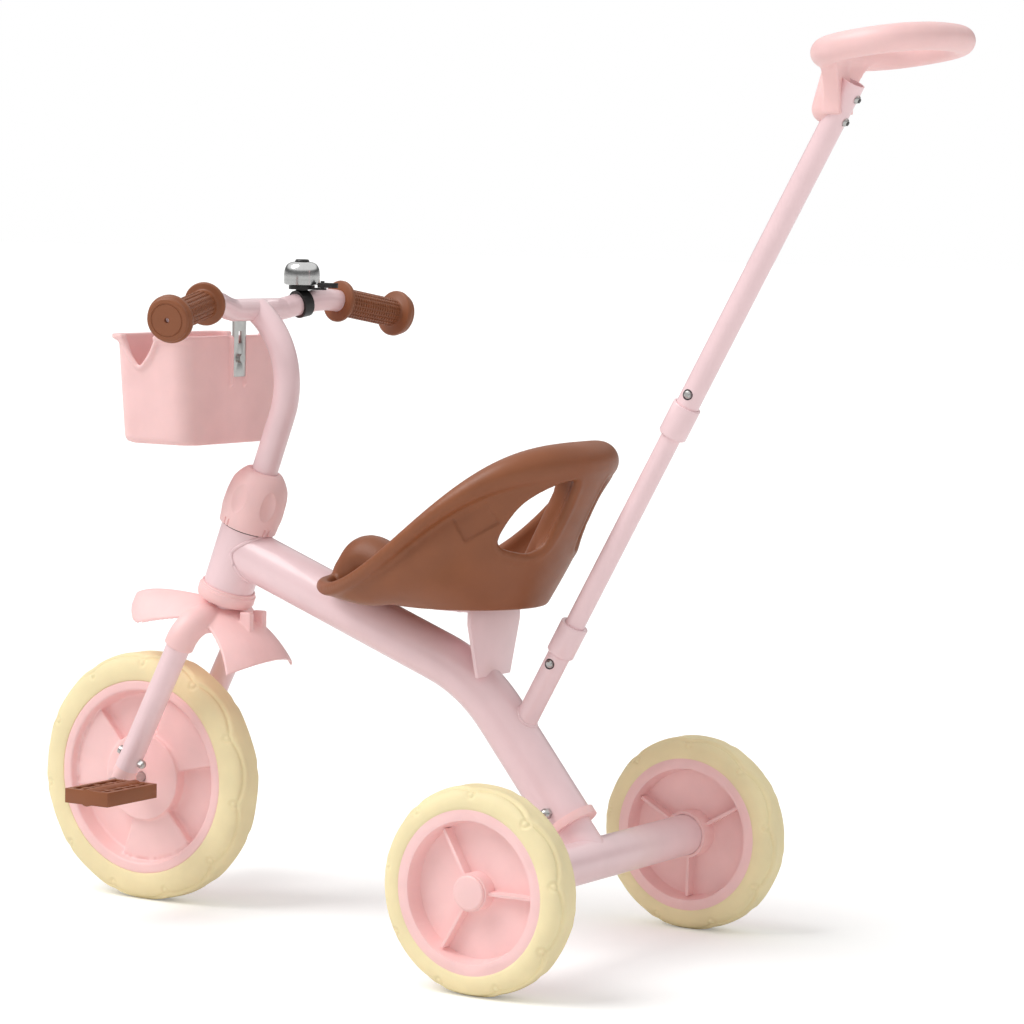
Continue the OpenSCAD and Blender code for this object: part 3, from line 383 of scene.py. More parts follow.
def tyre(node, rim, cusps):
    centre, reach = middle_and_reach(node)
    rim_r = middle_and_reach(rim)[1].z
    radius, half_w = reach.z, reach.x
    height = radius - rim_r
    half = [(rim_r + rise * height, side * half_w) for side, rise in TYRE_HALF]
    whole = [(r, -x) for r, x in half] + [(r, x) for r, x in reversed(half[:-1])]
    section = smooth_profile(whole, TYRE_SPAN_STEPS)
    run = runs_along(section)[-1]
    foot = [(rim_r - TYRE_SUNK, side * TYRE_FOOT * half_w) for side in (-1, 1)]
    section = foot[:1] + section + foot[1:] + foot[:1]
    first = runs_along(section)[1]
    scallop = scallops(cusps, radius, run, SHOULDER_OUT * half_w + SHOULDER_UP * height,
                       SCALLOP_SWING * half_w)

    def relief(angle, along):
        inside = along - first
        return scallop(angle, inside) if 0 < inside < run else 0.0
    place = Matrix.Translation(centre) @ Matrix.Rotation(math.pi / 2, 4, "Y")
    stand_in(node, "_moulded", lathe(node, place, section, cusps * STEPS_PER_CUSP, relief))


tyre("front_tyre", "front_rim", 11)
tyre("left_tyre", "left_rim", 9)
tyre("right_tyre", "right_rim", 9)


# Grips: a ribbed barrel between an inner flange and a stepped end, in millimetres

RIB_ROWS = 18
RIB_PITCH, RIB_HEIGHT = 3.4, 1.2
RIB_EDGE = (0.2, 0.55)
GRIP_PER_RIB = 8
GRIP_BORE_R, GRIP_PLUG = 11.03, 7.0
BARREL_R, BARREL_FROM, BARREL_LESS = 13.2, 9.8, 24.0
# Radius and distance from the inner end, then radius and distance from the outer end
GRIP_FLANGE = [(19.6, 0.0), (20.6, 0.4), (21.0, 1.4), (21.0, 3.6), (20.6, 4.6), (19.4, 5.0), (15.6, 5.2),
               (14.2, 5.9), (13.6, 7.4)]
GRIP_END = [(13.8, 13.2), (15.0, 12.4), (21.4, 12.0), (22.6, 11.5), (23.0, 10.4), (23.0, 7.6), (22.6, 6.5),
            (21.4, 6.0), (20.9, 5.4), (20.9, 2.2), (20.3, 0.9), (19.0, 0.4), (16.4, 0.3), (15.9, 0.9),
            (15.2, 0.9), (14.7, 0.2), (8.0, 0.0), (2.7, 0.0), (2.4, 0.4), (2.4, 5.0), (0.0, 5.0)]


def turned_axis(node):
    """Middle, direction and half length of a turned node, from the spread of its points."""
    points = np.array([v.co for v in nodes[node].data.vertices])
    points = np.unique(points.round(6), axis=0)
    centre = points.mean(0)
    spread = np.linalg.eigh((points - centre).T @ (points - centre))
    axis = Vector(spread[1][:, 2])
    runs = (points - centre) @ np.array(axis)
    middle = Vector(centre) + axis * float(runs.max() + runs.min()) / 2
    return middle, axis, float(runs.max() - runs.min()) / 2


def step_up(low, high, value):
    t = min(max((value - low) / (high - low), 0.0), 1.0)
    return t * t * (3 - 2 * t)


def along_axis(foot, axis):
    """Place whose local Z runs along an axis."""
    return Matrix.Translation(foot) @ axis.to_track_quat("Z", "Y").to_matrix().to_4x4()


def grip(node):
    middle, axis, half = turned_axis(node)
    if axis.x * middle.x < 0:
        axis = -axis
    length = 2 * half / MM
    step = RIB_PITCH / GRIP_PER_RIB
    barrel = [(BARREL_R, BARREL_FROM + k * step) for k in range(int((length - BARREL_LESS) / step))]
    bore = [(0.0, length - GRIP_PLUG), (GRIP_BORE_R, length - GRIP_PLUG), (GRIP_BORE_R, 0.0)]
    before = bore + GRIP_FLANGE
    profile = scaled(before + barrel + [(r, length - back) for r, back in GRIP_END], MM)
    runs = runs_along(profile)
    ribs_from, ribs_to = runs[len(before) + 1], runs[len(before) + len(barrel) - 1]

    def relief(angle, along):
        if not ribs_from < along < ribs_to:
            return 0.0
        row = 0.5 + 0.5 * math.cos(RIB_ROWS * angle)
        rib = 0.5 - 0.5 * math.cos(2 * math.pi * (along - ribs_from) / (RIB_PITCH * MM))
        return RIB_HEIGHT * MM * step_up(*RIB_EDGE, row) * step_up(*RIB_EDGE, rib)
    mesh = lathe(node, along_axis(middle - axis * half, axis), profile, RIB_ROWS * GRIP_PER_RIB, relief)
    stand_in(node, "_ribbed", mesh, TURNED_CREASE)


grip("left_grip")
grip("right_grip")


# Moulded and softened copies of the CAD nodes, in place of their sharp edges

BEVEL_SEGMENTS, BEVEL_FROM, FLAT_WITHIN = 2, 35, 0.5
SMOOTH_FACTOR = 0.5
DENT_REACH, DENT_FACING = 25 * MM, 0.3


def evaluated(mesh, *changes):
    """Runs modifiers on a mesh, each given as its type and its settings, and returns the result."""
    work = bpy.data.objects.new("work", mesh)
    bpy.context.scene.collection.objects.link(work)
    for kind, settings in changes:
        change = work.modifiers.new(kind, kind)
        for key, value in settings.items():
            setattr(change, key, value)
    seen_by = bpy.context.evaluated_depsgraph_get()
    result = bpy.data.meshes.new_from_object(work.evaluated_get(seen_by))
    bpy.data.objects.remove(work)
    return result


def cut(mesh, cutters):
    """The mesh less the given closed meshes."""
    tools = []
    for cutter in cutters:
        tools.append(bpy.data.objects.new("cutter", cutter))
        bpy.context.scene.collection.objects.link(tools[-1])
    result = evaluated(mesh, *[("BOOLEAN", {"operation": "DIFFERENCE", "solver": "EXACT", "object": tool})
                               for tool in tools])
    for tool in tools:
        bpy.data.objects.remove(tool)
    return result


def bevelled(mesh, width, from_angle):
    """The mesh with its edges over an angle, in degrees, rounded over a small width."""
    return evaluated(mesh, ("BEVEL", {"width": width, "segments": BEVEL_SEGMENTS, "limit_method": "ANGLE",
                                      "angle_limit": math.radians(from_angle)}))


def vertex_values(mesh, key):
    values = np.empty(len(mesh.vertices) * 3)
    mesh.vertices.foreach_get(key, values)
    return values.reshape(-1, 3)


def dent(mesh, corners, depth, edge):
    """Presses the skin under a four-cornered patch inward, with a short slope at the patch's edge."""
    corners = np.array([list(c) for c in corners])
    normal = np.cross(corners[2] - corners[0], corners[3] - corners[1])
    normal /= np.linalg.norm(normal)
    points = vertex_values(mesh, "co")
    facing = vertex_values(mesh, "normal") @ normal
    inside = np.full(len(points), 1.0)
    for k in range(4):
        inward = np.cross(normal, corners[(k + 1) % 4] - corners[k])
        inward /= np.linalg.norm(inward)
        inside = np.minimum(inside, (points - corners[k]) @ inward)
    near = np.abs((points - corners.mean(0)) @ normal) < DENT_REACH
    share = np.clip(inside / edge, 0, 1) * (facing > DENT_FACING) * near
    points -= normal * (depth * share)[:, None]
    mesh.vertices.foreach_set("co", points.ravel())
    mesh.update()


def moulded(node, voxel, rounds, solids, dents=()):
    """A moulded skin in place of a node: solids made one in small even cells, edges worn to a soft round."""
    mesh = evaluated(joined("work", solids),
                     ("REMESH", {"mode": "VOXEL", "voxel_size": voxel}),
                     ("SMOOTH", {"factor": SMOOTH_FACTOR, "iterations": rounds}))
    for corners, depth, edge in dents:
        dent(mesh, corners, depth, edge)
    stand_in(node, "_moulded", mesh)


def softened(node, width):
    """The node's own faces with their sharp edges rounded over a small width."""
    copy = nodes[node].data.copy()
    tidy_mesh(copy)
    work = bmesh.new()
    work.from_mesh(copy)
    bmesh.ops.dissolve_limit(work, angle_limit=math.radians(FLAT_WITHIN), verts=work.verts, edges=work.edges)
    work.to_mesh(copy)
    work.free()
    stand_in(node, "_softened", bevelled(copy, width, BEVEL_FROM), BEVELLED_CREASE)


# Places and directions

axle = middle_and_reach("left_tyre")[0]


def spot(x, y, z):
    """A place given in millimetres from the floor under the middle of the rear axle."""
    return Vector((x * MM, axle.y + y * MM, z * MM))


def mirrored_spot(p, side):
    """The same for a point of three numbers, with its X turned over where side is -1."""
    return spot(side * p[0], p[1], p[2])


def leaning(angle):
    """Upward direction leaning back by an angle in degrees."""
    return Vector((0, math.sin(math.radians(angle)), math.cos(math.radians(angle))))


def turned_about_x(origin, angle):
    """Places given in a frame that is tilted about X, in millimetres from an origin."""
    c, s = math.cos(math.radians(angle)), math.sin(math.radians(angle))
    return lambda x, y, z: origin + Vector((x, y * c - z * s, y * s + z * c)) * MM


def block(name, x, y, z):
    """A box between two places along each axis."""
    return loft(name, [[spot(x[i], y[j], height) for i, j in ((0, 0), (1, 0), (1, 1), (0, 1))]
                       for height in z])


def eased(u):
    return (1 - math.cos(math.pi * min(max(u, 0.0), 1.0))) / 2


HEAD_ANGLE, HEAD_R = 19.5, 25.5
HEAD_FOOT, HEAD_LEAN = spot(0, -427, 318), leaning(HEAD_ANGLE)


# Seat: a bucket with a rolled rim that rises to the back, a pommel, and a hand hole each side of a rear
# pillar, in millimetres and degrees

SEAT_Z, SEAT_MID_Y, SEAT_HALF_W, SEAT_BACK, SEAT_FRONT = 328.0, -140.0, 130.0, 141.0, 156.0
BASE_HALF_W, BASE_HALF_L, BASE_MID_Y = 80.0, 81.0, -148.0
ROLL_HIGH, ROLL_LOW, ROLL_BACK_MORE, SEAT_WALL, BASE_EDGE = 13.0, 7.0, 7.0, 4.0, 2.0
RIM_LOW_UP, RIM_RISE, RISE_FROM, RISE_RUN = 19.0, 143.0, -263.0, 277.0
WALL_SHARE, BULGE_SHARE = 0.75, 0.85
SEAT_STEPS, WALL_STEPS, ROLL_STEPS = 180, 14, 20
ROLL_FROM, ROLL_FROM_BACK, ROLL_TO = -110, -35, 200


def rearward_share(a):
    return max(math.sin(a), 0.0) ** 2


def roll_from(a):
    """Where the wall runs into the roll: under it at the sides, flush with its outside at the back."""
    return ROLL_FROM + (ROLL_FROM_BACK - ROLL_FROM) * rearward_share(a)


def seat_rim(a):
    """Middle of the roll, its radius and the way outward, at an angle round the seat."""
    length = SEAT_BACK if math.sin(a) > 0 else SEAT_FRONT
    out = Vector((SEAT_HALF_W * math.cos(a), SEAT_MID_Y + length * math.sin(a), 0))
    up = eased((out.y - RISE_FROM) / RISE_RUN)
    radius = ROLL_LOW + (ROLL_HIGH - ROLL_LOW) * up + ROLL_BACK_MORE * rearward_share(a)
    outward = (out - Vector((0, SEAT_MID_Y, 0))).normalized()
    middle = out - outward * radius
    middle.z = SEAT_Z + RIM_LOW_UP - radius + RIM_RISE * up
    return middle, radius, outward


def seat_base(a, inset, z):
    return Vector(((BASE_HALF_W - inset) * math.cos(a), BASE_MID_Y + (BASE_HALF_L - inset) * math.sin(a), z))


def roll_spot(a, turn):
    middle, radius, outward = seat_rim(a)
    turn = math.radians(turn)
    return middle + radius * (outward * math.cos(turn) + Vector((0, 0, math.sin(turn))))


def seat_wall(a, share, inset):
    """A place on the wall between the base and the roll, a share of the way up."""
    middle, radius, outward = seat_rim(a)
    low = seat_base(a, inset, SEAT_Z + BASE_EDGE + inset)
    high = roll_spot(a, roll_from(a)) if inset == 0 else roll_spot(a, ROLL_TO)
    mid = low + (middle - low) * WALL_SHARE + outward * (radius * BULGE_SHARE - inset)
    mid.z = SEAT_Z + inset + (middle.z - radius - SEAT_Z) * WALL_SHARE
    mid = mid.lerp(low.lerp(high, WALL_SHARE), rearward_share(a))
    k = (mid - low).length / ((mid - low).length + (high - mid).length)
    return (low * ((share - k) * (share - 1) / k) + mid * (share * (share - 1) / (k * (k - 1)))
            + high * (share * (share - k) / (1 - k)))


def round_seat(place):
    return [spot(*place(2 * math.pi * j / SEAT_STEPS)) for j in range(SEAT_STEPS)]


seat_rings = [round_seat(lambda a: seat_base(a, BASE_EDGE, SEAT_Z))]
for k in range(WALL_STEPS):
    seat_rings.append(round_seat(lambda a: seat_wall(a, k / WALL_STEPS, 0.0)))
for k in range(ROLL_STEPS + 1):
    seat_rings.append(round_seat(
        lambda a: roll_spot(a, roll_from(a) + (ROLL_TO - roll_from(a)) * k / ROLL_STEPS)))
for k in reversed(range(WALL_STEPS)):
    seat_rings.append(round_seat(lambda a: seat_wall(a, k / WALL_STEPS, SEAT_WALL)))

# The outline of a hand hole, as angles round the seat and shares of the wall's height
HOLE_LINE = [(41, 0.60), (44, 0.74), (51, 0.89), (62, 0.98), (73, 1.02), (79, 1.0), (81, 0.88),
             (80.5, 0.66), (77, 0.47), (67, 0.40), (56, 0.43), (46, 0.50)]
HOLE_SPAN_STEPS = 6
HOLE_IN, HOLE_OUT, HOLE_BEAD, HOLE_BEAD_IN = 45.0, 25.0, 5.5, 5.0
hole_line = smooth_profile(HOLE_LINE + HOLE_LINE[:1], HOLE_SPAN_STEPS)[:-1]


def hole_ring(side, off):
    """The outline of a hole, moved outward from the wall."""
    ring = []
    for degrees, share in hole_line:
        a = math.radians(degrees)
        ring.append(mirrored_spot(seat_wall(a, share, 0.0) + seat_rim(a)[2] * off, side))
    return ring


hole_cutters, hole_beads = [], []
for side in (1, -1):
    hole_cutters.append(loft("hole", [hole_ring(side, -HOLE_IN), hole_ring(side, HOLE_OUT)]))
    bead = hole_ring(side, -HOLE_BEAD_IN)
    hole_beads.append(sweep("bead", bead + bead[:1], HOLE_BEAD * MM))

PILLAR_R, PILLAR_IN, PILLAR_FROM, PILLAR_STEP, PILLAR_STEPS, PILLAR_SIDES = 16.0, 19.5, 0.2, 0.08, 10, 24
pillar_path = []
for k in range(PILLAR_STEPS + 1):
    wall = seat_wall(math.pi / 2, PILLAR_FROM + PILLAR_STEP * k, 0.0)
    pillar_path.append(spot(wall.x, wall.y - PILLAR_IN, wall.z))
pillar = sweep("pillar", pillar_path, PILLAR_R * MM, PILLAR_SIDES)

POMMEL_LINE = [(0, -272, 345), (0, -256, 362), (0, -222, 346)]
POMMEL_R, POMMEL_SPAN_STEPS, POMMEL_SIDES, POMMEL_OVER_BASE = 24.0, 10, 32, 3.0
pommel_path = smooth_curve([spot(*p) for p in POMMEL_LINE], POMMEL_SPAN_STEPS)
pommel = [sweep("pommel", pommel_path, POMMEL_R * MM, POMMEL_SIDES),
          ball("pommel_front", pommel_path[0], POMMEL_R * MM),
          ball("pommel_back", pommel_path[-1], POMMEL_R * MM)]
for mesh in pommel:
    for vert in mesh.vertices:
        vert.co.z = max(vert.co.z, (SEAT_Z + POMMEL_OVER_BASE) * MM)
seat_solids = [cut(loft("seat", seat_rings), hole_cutters), *hole_beads, pillar, *pommel]

# A shallow square panel is pressed into each side of the seat
PANEL = [(107, -95.6, 416.8), (102.4, -84.1, 395.5), (82.5, -57.5, 415.3), (89.7, -68.8, 434.7)]
PANEL_DEPTH, PANEL_EDGE = 2.2 * MM, 1.2 * MM
panels = [([mirrored_spot(p, side) for p in PANEL[::side]], PANEL_DEPTH, PANEL_EDGE) for side in (1, -1)]


# Push handle: an oval ring on a round neck, with a web that spreads from the neck to the ring

RING_MIDDLE, RING_TILT, RING_STEPS = spot(0, 289.5, 854.5), 9, 120
RING_HALF_W, RING_HALF_L, RING_R, RING_POWER = 73.5, 54.0, 12.5, 2.35
NECK_LOW, NECK_LOW_R, NECK_HIGH_R = spot(0, 224.5, 799.5), 13.0, 11.5
WEB_HALF_W, WEB_R, WEB_END, WEB_BEND_R, WEB_T, WEB_STEPS = 14.0, 58.0, 117.0, 87.5, 16.0, 12
TUBE_SIDES = 32
# Columns each side of the middle of a sheet
SHEET_HALF = 8
SHEET_COLUMNS = range(-SHEET_HALF, SHEET_HALF + 1)
ring_at = turned_about_x(RING_MIDDLE, RING_TILT)
neck_high = ring_at(0, -RING_HALF_L, 0)


def rounded(value):
    """Turns a cosine or sine of a circle into that of an oval with fuller corners."""
    return math.copysign(abs(value) ** (2 / RING_POWER), value)


def web_grid(radius):
    rows = []
    for k in range(WEB_STEPS + 1):
        a = math.radians(180 - (180 - WEB_END) * k / WEB_STEPS)
        half_w = WEB_HALF_W + WEB_R * (1 + math.cos(a))
        drop = WEB_R * (math.sin(a) - math.sin(math.radians(WEB_END)))
        row = []
        for j in SHEET_COLUMNS:
            x = half_w * j / SHEET_HALF
            row.append(neck_high + Vector((x, WEB_BEND_R - math.sqrt(radius ** 2 - x ** 2), drop)) * MM)
        rows.append(row)
    return rows


ring_turns = [2 * math.pi * k / RING_STEPS for k in range(RING_STEPS)]
ring_path = [ring_at(RING_HALF_W * rounded(math.cos(turn)), RING_HALF_L * rounded(math.sin(turn)), 0)
             for turn in ring_turns]
handle_solids = [sweep("ring", ring_path + ring_path[:1], RING_R * MM, TUBE_SIDES),
                 sweep("neck", [NECK_LOW, neck_high], [NECK_LOW_R * MM, NECK_HIGH_R * MM], TUBE_SIDES),
                 ball("neck_ball", NECK_LOW, NECK_LOW_R * MM),
                 sheet_of("web", web_grid(WEB_BEND_R + WEB_T / 2), web_grid(WEB_BEND_R - WEB_T / 2))]


# Mudguard: a crowned sheet that runs out in a rounded nose ahead and a wide fin behind, on a sleeve round
# the fork

GUARD_SPOT, GUARD_T = spot(0, -431, 306.7), 3.0
NOSE_LEN, NOSE_HALF_W, NOSE_UP, NOSE_SAG, NOSE_DROP, NOSE_ROUND = 106.0, 33.0, 12.0, 37.0, 8.0, 0.3
NOSE_STEPS, NOSE_DROP_POWER, NOSE_TIP, NOSE_SAG_POWER = 24, 6, 0.02, 1.5
CROWN_HALF_W, CROWN_SAG = 34.0, 13.0
FIN_R, FIN_FROM, FIN_TO, FIN_HALF_W, FIN_SAG, FIN_STEPS = 110.0, 15.0, 60.0, 56.0, 24.0, 18


def between(low, high, share):
    return low + (high - low) * share


# Each row of the sheet: place along and up, lean of its normal, half width and sag of its edges
guard_rows = []
for k in range(NOSE_STEPS):
    u = k / NOSE_STEPS
    t = 1 - u
    width = math.sqrt(max(1 - (max(t - 1 + NOSE_ROUND, 0.0) / NOSE_ROUND) ** 2, NOSE_TIP))
    guard_rows.append((-NOSE_LEN * t, NOSE_UP * math.sqrt(t) - NOSE_DROP * t ** NOSE_DROP_POWER, FIN_FROM * u,
                       between(NOSE_HALF_W, CROWN_HALF_W, u) * width,
                       between(NOSE_SAG, CROWN_SAG, u) * width ** NOSE_SAG_POWER))
fin_start = leaning(FIN_FROM)
for k in range(FIN_STEPS + 1):
    u = k / FIN_STEPS
    lean = between(FIN_FROM, FIN_TO, u)
    off = (leaning(lean) - fin_start) * FIN_R
    guard_rows.append((off.y, off.z, lean, between(CROWN_HALF_W, FIN_HALF_W, u),
                       between(CROWN_SAG, FIN_SAG, u)))


def guard_grid(under):
    grid = []
    for y, z, lean, half_w, sag in guard_rows:
        row = []
        for j in SHEET_COLUMNS:
            share = j / SHEET_HALF
            place = Vector((half_w * share, y, z)) - leaning(lean) * (sag * share ** 2 + under)
            row.append(GUARD_SPOT + place * MM)
        grid.append(row)
    return grid


SLEEVE_R, LEG_X, LEG_BEND_R, SLEEVE_RUN, LEG_LEAN = 15.0, 50.0, 24.0, 5.0, 26.0
CROWN_BELOW_HEAD, SLEEVE_STEPS = 27, 12
crown_at = turned_about_x(HEAD_FOOT - HEAD_LEAN * CROWN_BELOW_HEAD * MM, -LEG_LEAN)
half_sleeve = [(LEG_X, -LEG_BEND_R - SLEEVE_RUN)]
for k in range(SLEEVE_STEPS + 1):
    a = math.pi / 2 * k / SLEEVE_STEPS
    half_sleeve.append((LEG_X - LEG_BEND_R * (1 - math.cos(a)), LEG_BEND_R * (math.sin(a) - 1)))
sleeve_path = ([crown_at(x, 0, z) for x, z in half_sleeve]
               + [crown_at(-x, 0, z) for x, z in reversed(half_sleeve)])

# A pair of short clips stands on the guard behind the bearing cup
CLIP_X, CLIP_HALF_W, CLIP_Y, CLIP_Z = 11.0, 3.5, (-401.0, -388.0), (283.0, 301.0)
clips = [block("clip", (x - CLIP_HALF_W, x + CLIP_HALF_W), CLIP_Y, CLIP_Z) for x in (CLIP_X, -CLIP_X)]
guard_solids = [sheet_of("guard", guard_grid(0), guard_grid(GUARD_T)),
                sweep("sleeve", sleeve_path, SLEEVE_R * MM, TUBE_SIDES), *clips]


# Basket: a tapered box with round corners, a flared lip and a V in each side

BASKET_HALF_W, BASKET_BACK, BASKET_FRONT, BASKET_LOW, BASKET_H = 87.0, -418.0, -503.0, 467.0, 107.0
BASKET_WALL, BASKET_LIP, BASKET_TAPER, BASKET_ROUND, BASKET_EDGE, LIP_H = 3.0, 5.0, 5.0, 18.0, 6.0, 4.0
EDGE_SHARE, CORNER_STEPS = 0.3, 8
CORNERS = ((1, 1), (-1, 1), (-1, -1), (1, -1))


def basket_ring(grow, inset, z):
    half_w = BASKET_HALF_W - BASKET_TAPER + grow - inset
    front, back, r = BASKET_FRONT - grow + inset, BASKET_BACK - inset, BASKET_ROUND - inset
    ring = []
    for i, (across, behind) in enumerate(CORNERS):
        y = back - r if behind > 0 else front + r
        for k in range(CORNER_STEPS + 1):
            a = math.pi / 2 * (i + k / CORNER_STEPS)
            ring.append(spot(across * (half_w - r) + r * math.cos(a), y + r * math.sin(a), z))
    return ring


basket_top = BASKET_LOW + BASKET_H
BASKET_RINGS = [
    (-BASKET_EDGE, 0, BASKET_LOW), (-EDGE_SHARE * BASKET_EDGE, 0, BASKET_LOW + EDGE_SHARE * BASKET_EDGE),
    (0, 0, BASKET_LOW + BASKET_EDGE), (BASKET_TAPER, 0, basket_top - 2 * LIP_H),
    (BASKET_TAPER + BASKET_LIP, 0, basket_top - LIP_H), (BASKET_TAPER + BASKET_LIP, 0, basket_top),
    (BASKET_TAPER, BASKET_WALL, basket_top), (0, BASKET_WALL, BASKET_LOW + BASKET_EDGE),
    (-BASKET_EDGE / 2, BASKET_WALL, BASKET_LOW + BASKET_WALL),
]
basket_shell = loft("basket", [basket_ring(*ring) for ring in BASKET_RINGS])

# The V, from the back and the floor of the basket, and the bead along it
NOTCH = [(-56, 74), (-44, 85), (-30, 123), (-81, 123), (-66, 85)]
NOTCH_REACH = 150
notch_cutter = loft("notch", [[spot(x, BASKET_BACK + y, BASKET_LOW + z) for y, z in NOTCH]
                              for x in (-NOTCH_REACH, NOTCH_REACH)])
NOTCH_LINE = [(88.5, -503, 571.6), (88.4, -495.5, 569.6), (87.2, -485.4, 553.2), (86.2, -474, 541.6),
              (87.2, -461.2, 553.2), (88.4, -451.4, 569.6), (88.5, -444, 571.6)]
NOTCH_BEAD, NOTCH_SPAN_STEPS = 2.7 * MM, 8
notch_beads = [sweep("bead", smooth_curve([mirrored_spot(p, side) for p in NOTCH_LINE], NOTCH_SPAN_STEPS),
                     NOTCH_BEAD) for side in (1, -1)]

# A thin rib runs down each side of the strap
RIB_HALF_W, RIB_OFF, RIB_OUT, RIB_LOW, RIB_UNDER_TOP = 1.5, 11.5, 3.5, 524.0, 1.0
RIB_Y, RIB_Z = (BASKET_BACK - RIB_HALF_W, BASKET_BACK + RIB_OUT), (RIB_LOW, basket_top - RIB_UNDER_TOP)
strap_ribs = [block("rib", (x - RIB_HALF_W, x + RIB_HALF_W), RIB_Y, RIB_Z) for x in (-RIB_OFF, RIB_OFF)]
basket_solids = [cut(basket_shell, [notch_cutter]), *notch_beads, *strap_ribs]


# Seat bracket: a plate across the main tube, folded forward under the seat

BRACKET_Y, BRACKET_T, BRACKET_FLANGE, BRACKET_OVERLAP, BRACKET_HALF_W = -116.0, 4.0, 38.0, 1.0, 45.0
BRACKET_BEVEL, BRACKET_BEVEL_FROM = 0.8 * MM, 30
BRACKET_HALF = [(BRACKET_HALF_W, SEAT_Z), (BRACKET_HALF_W, 312), (29, 260.3)]
bracket_line = BRACKET_HALF + [(-x, z) for x, z in reversed(BRACKET_HALF)]
bracket_plate = loft("plate", [[spot(x, y, z) for x, z in bracket_line]
                               for y in (BRACKET_Y, BRACKET_Y + BRACKET_T)])
bracket_top = block("flange", (-BRACKET_HALF_W, BRACKET_HALF_W),
                    (BRACKET_Y - BRACKET_FLANGE, BRACKET_Y + BRACKET_OVERLAP), (SEAT_Z - BRACKET_T, SEAT_Z))


# Lock knob: a turned dome with long dimples round it

KNOB_R, KNOB_FOOT, KNOB_H, KNOB_BORE, KNOB_STEPS, KNOB_SPAN_STEPS = 31.0, 71.8, 59.0, 13.3, 420, 14
KNOB_SHARES = [(0.93, 0), (0.95, 0.12), (0.985, 0.27), (1, 0.42), (0.985, 0.58), (0.9, 0.75),
               (0.76, 0.88), (0.62, 0.97), (0.52, 1)]
KNOB_DIMPLES, DIMPLE_DEPTH, DIMPLE_HALF_W, DIMPLE_HALF_H, DIMPLE_UP = 6, 3.4, 8.0, 15.0, 31.0
DIMPLE_POWER = 0.8
knob_side = [(r * KNOB_R, KNOB_FOOT + h * KNOB_H) for r, h in smooth_profile(KNOB_SHARES, KNOB_SPAN_STEPS)]
knob_line = scaled([(KNOB_BORE, KNOB_FOOT), *knob_side, (KNOB_BORE, KNOB_FOOT + KNOB_H),
                    (KNOB_BORE, KNOB_FOOT)], MM)
knob_runs = runs_along(knob_line)


def knob_relief(angle, run):
    if not knob_runs[1] < run < knob_runs[-3]:
        return 0.0
    height = float(np.interp(run, knob_runs, [h for r, h in knob_line])) / MM
    near = (angle * KNOB_DIMPLES / (2 * math.pi) + 0.5) % 1 - 0.5
    across = near * 2 * math.pi / KNOB_DIMPLES * KNOB_R / DIMPLE_HALF_W
    along = (height - KNOB_FOOT - DIMPLE_UP) / DIMPLE_HALF_H
    return -DIMPLE_DEPTH * MM * max(1 - across ** 2 - along ** 2, 0.0) ** DIMPLE_POWER


# Pairs of short slots round the lower edge of the knob
SLOT_TURNS, SLOT_OFFS = (-15, 75, 165, 255), (-2.6, 2.6)
SLOT_HALF_W, SLOT_LOW, SLOT_HIGH, SLOT_DEPTH, SLOT_EDGE = 0.9, 70.0, 79.0, 2.2 * MM, 0.3 * MM
KNOB_EDGE_R = 29.0


def slot_corners(turn, off):
    turn = math.radians(turn)
    outward = Vector((math.cos(turn), 0, 0)) + HEAD_LEAN.cross(Vector((math.sin(turn), 0, 0)))
    sideways = HEAD_LEAN.cross(outward)
    return [HEAD_FOOT + (outward * KNOB_EDGE_R + sideways * (off + w * SLOT_HALF_W) + HEAD_LEAN * h) * MM
            for w, h in ((-1, SLOT_LOW), (1, SLOT_LOW), (1, SLOT_HIGH), (-1, SLOT_HIGH))]


# Each skin, with the size of its cells and the rounds that smooth it
moulded("push_handle", voxel=1.2 * MM, rounds=14, solids=handle_solids)
moulded("seat", voxel=1.9 * MM, rounds=10, solids=seat_solids, dents=panels)
moulded("basket", voxel=1.35 * MM, rounds=4, solids=basket_solids)
moulded("mudguard", voxel=0.9 * MM, rounds=6, solids=guard_solids)
moulded("front_rim", voxel=1.4 * MM, rounds=3, solids=[nodes["front_rim"].data])

knob_place = Matrix.Translation(HEAD_FOOT) @ Matrix.Rotation(math.radians(-HEAD_ANGLE), 4, "X")
knob_mesh = lathe("lock_knob", knob_place, knob_line, KNOB_STEPS, knob_relief)
for turn in SLOT_TURNS:
    for off in SLOT_OFFS:
        dent(knob_mesh, slot_corners(turn, off), SLOT_DEPTH, SLOT_EDGE)
stand_in("lock_knob", "_moulded", knob_mesh, TURNED_CREASE)

bracket_mesh = bevelled(joined("work", [bracket_plate, bracket_top]), BRACKET_BEVEL, BRACKET_BEVEL_FROM)
stand_in("seat_bracket", "_folded", bracket_mesh, BEVELLED_CREASE)

# Two pan-head screws hold the seat to the bracket's flange
SEAT_SCREW_X, SEAT_SCREW_Y, SCREW_STEPS = 22.0, -138.0, 32
SCREW_LINE = [(0, 0), (2.5, 0), (2.5, -4), (5, -4), (4.6, -5.6), (3.2, -6.8), (0, -7.2)]
seat_screws = [lathe("screw", Matrix.Translation(spot(x, SEAT_SCREW_Y, SEAT_Z)), scaled(SCREW_LINE, MM),
                     SCREW_STEPS) for x in (SEAT_SCREW_X, -SEAT_SCREW_X)]
stand_in("seat_screws", "_seated", joined("seat_screws", seat_screws))

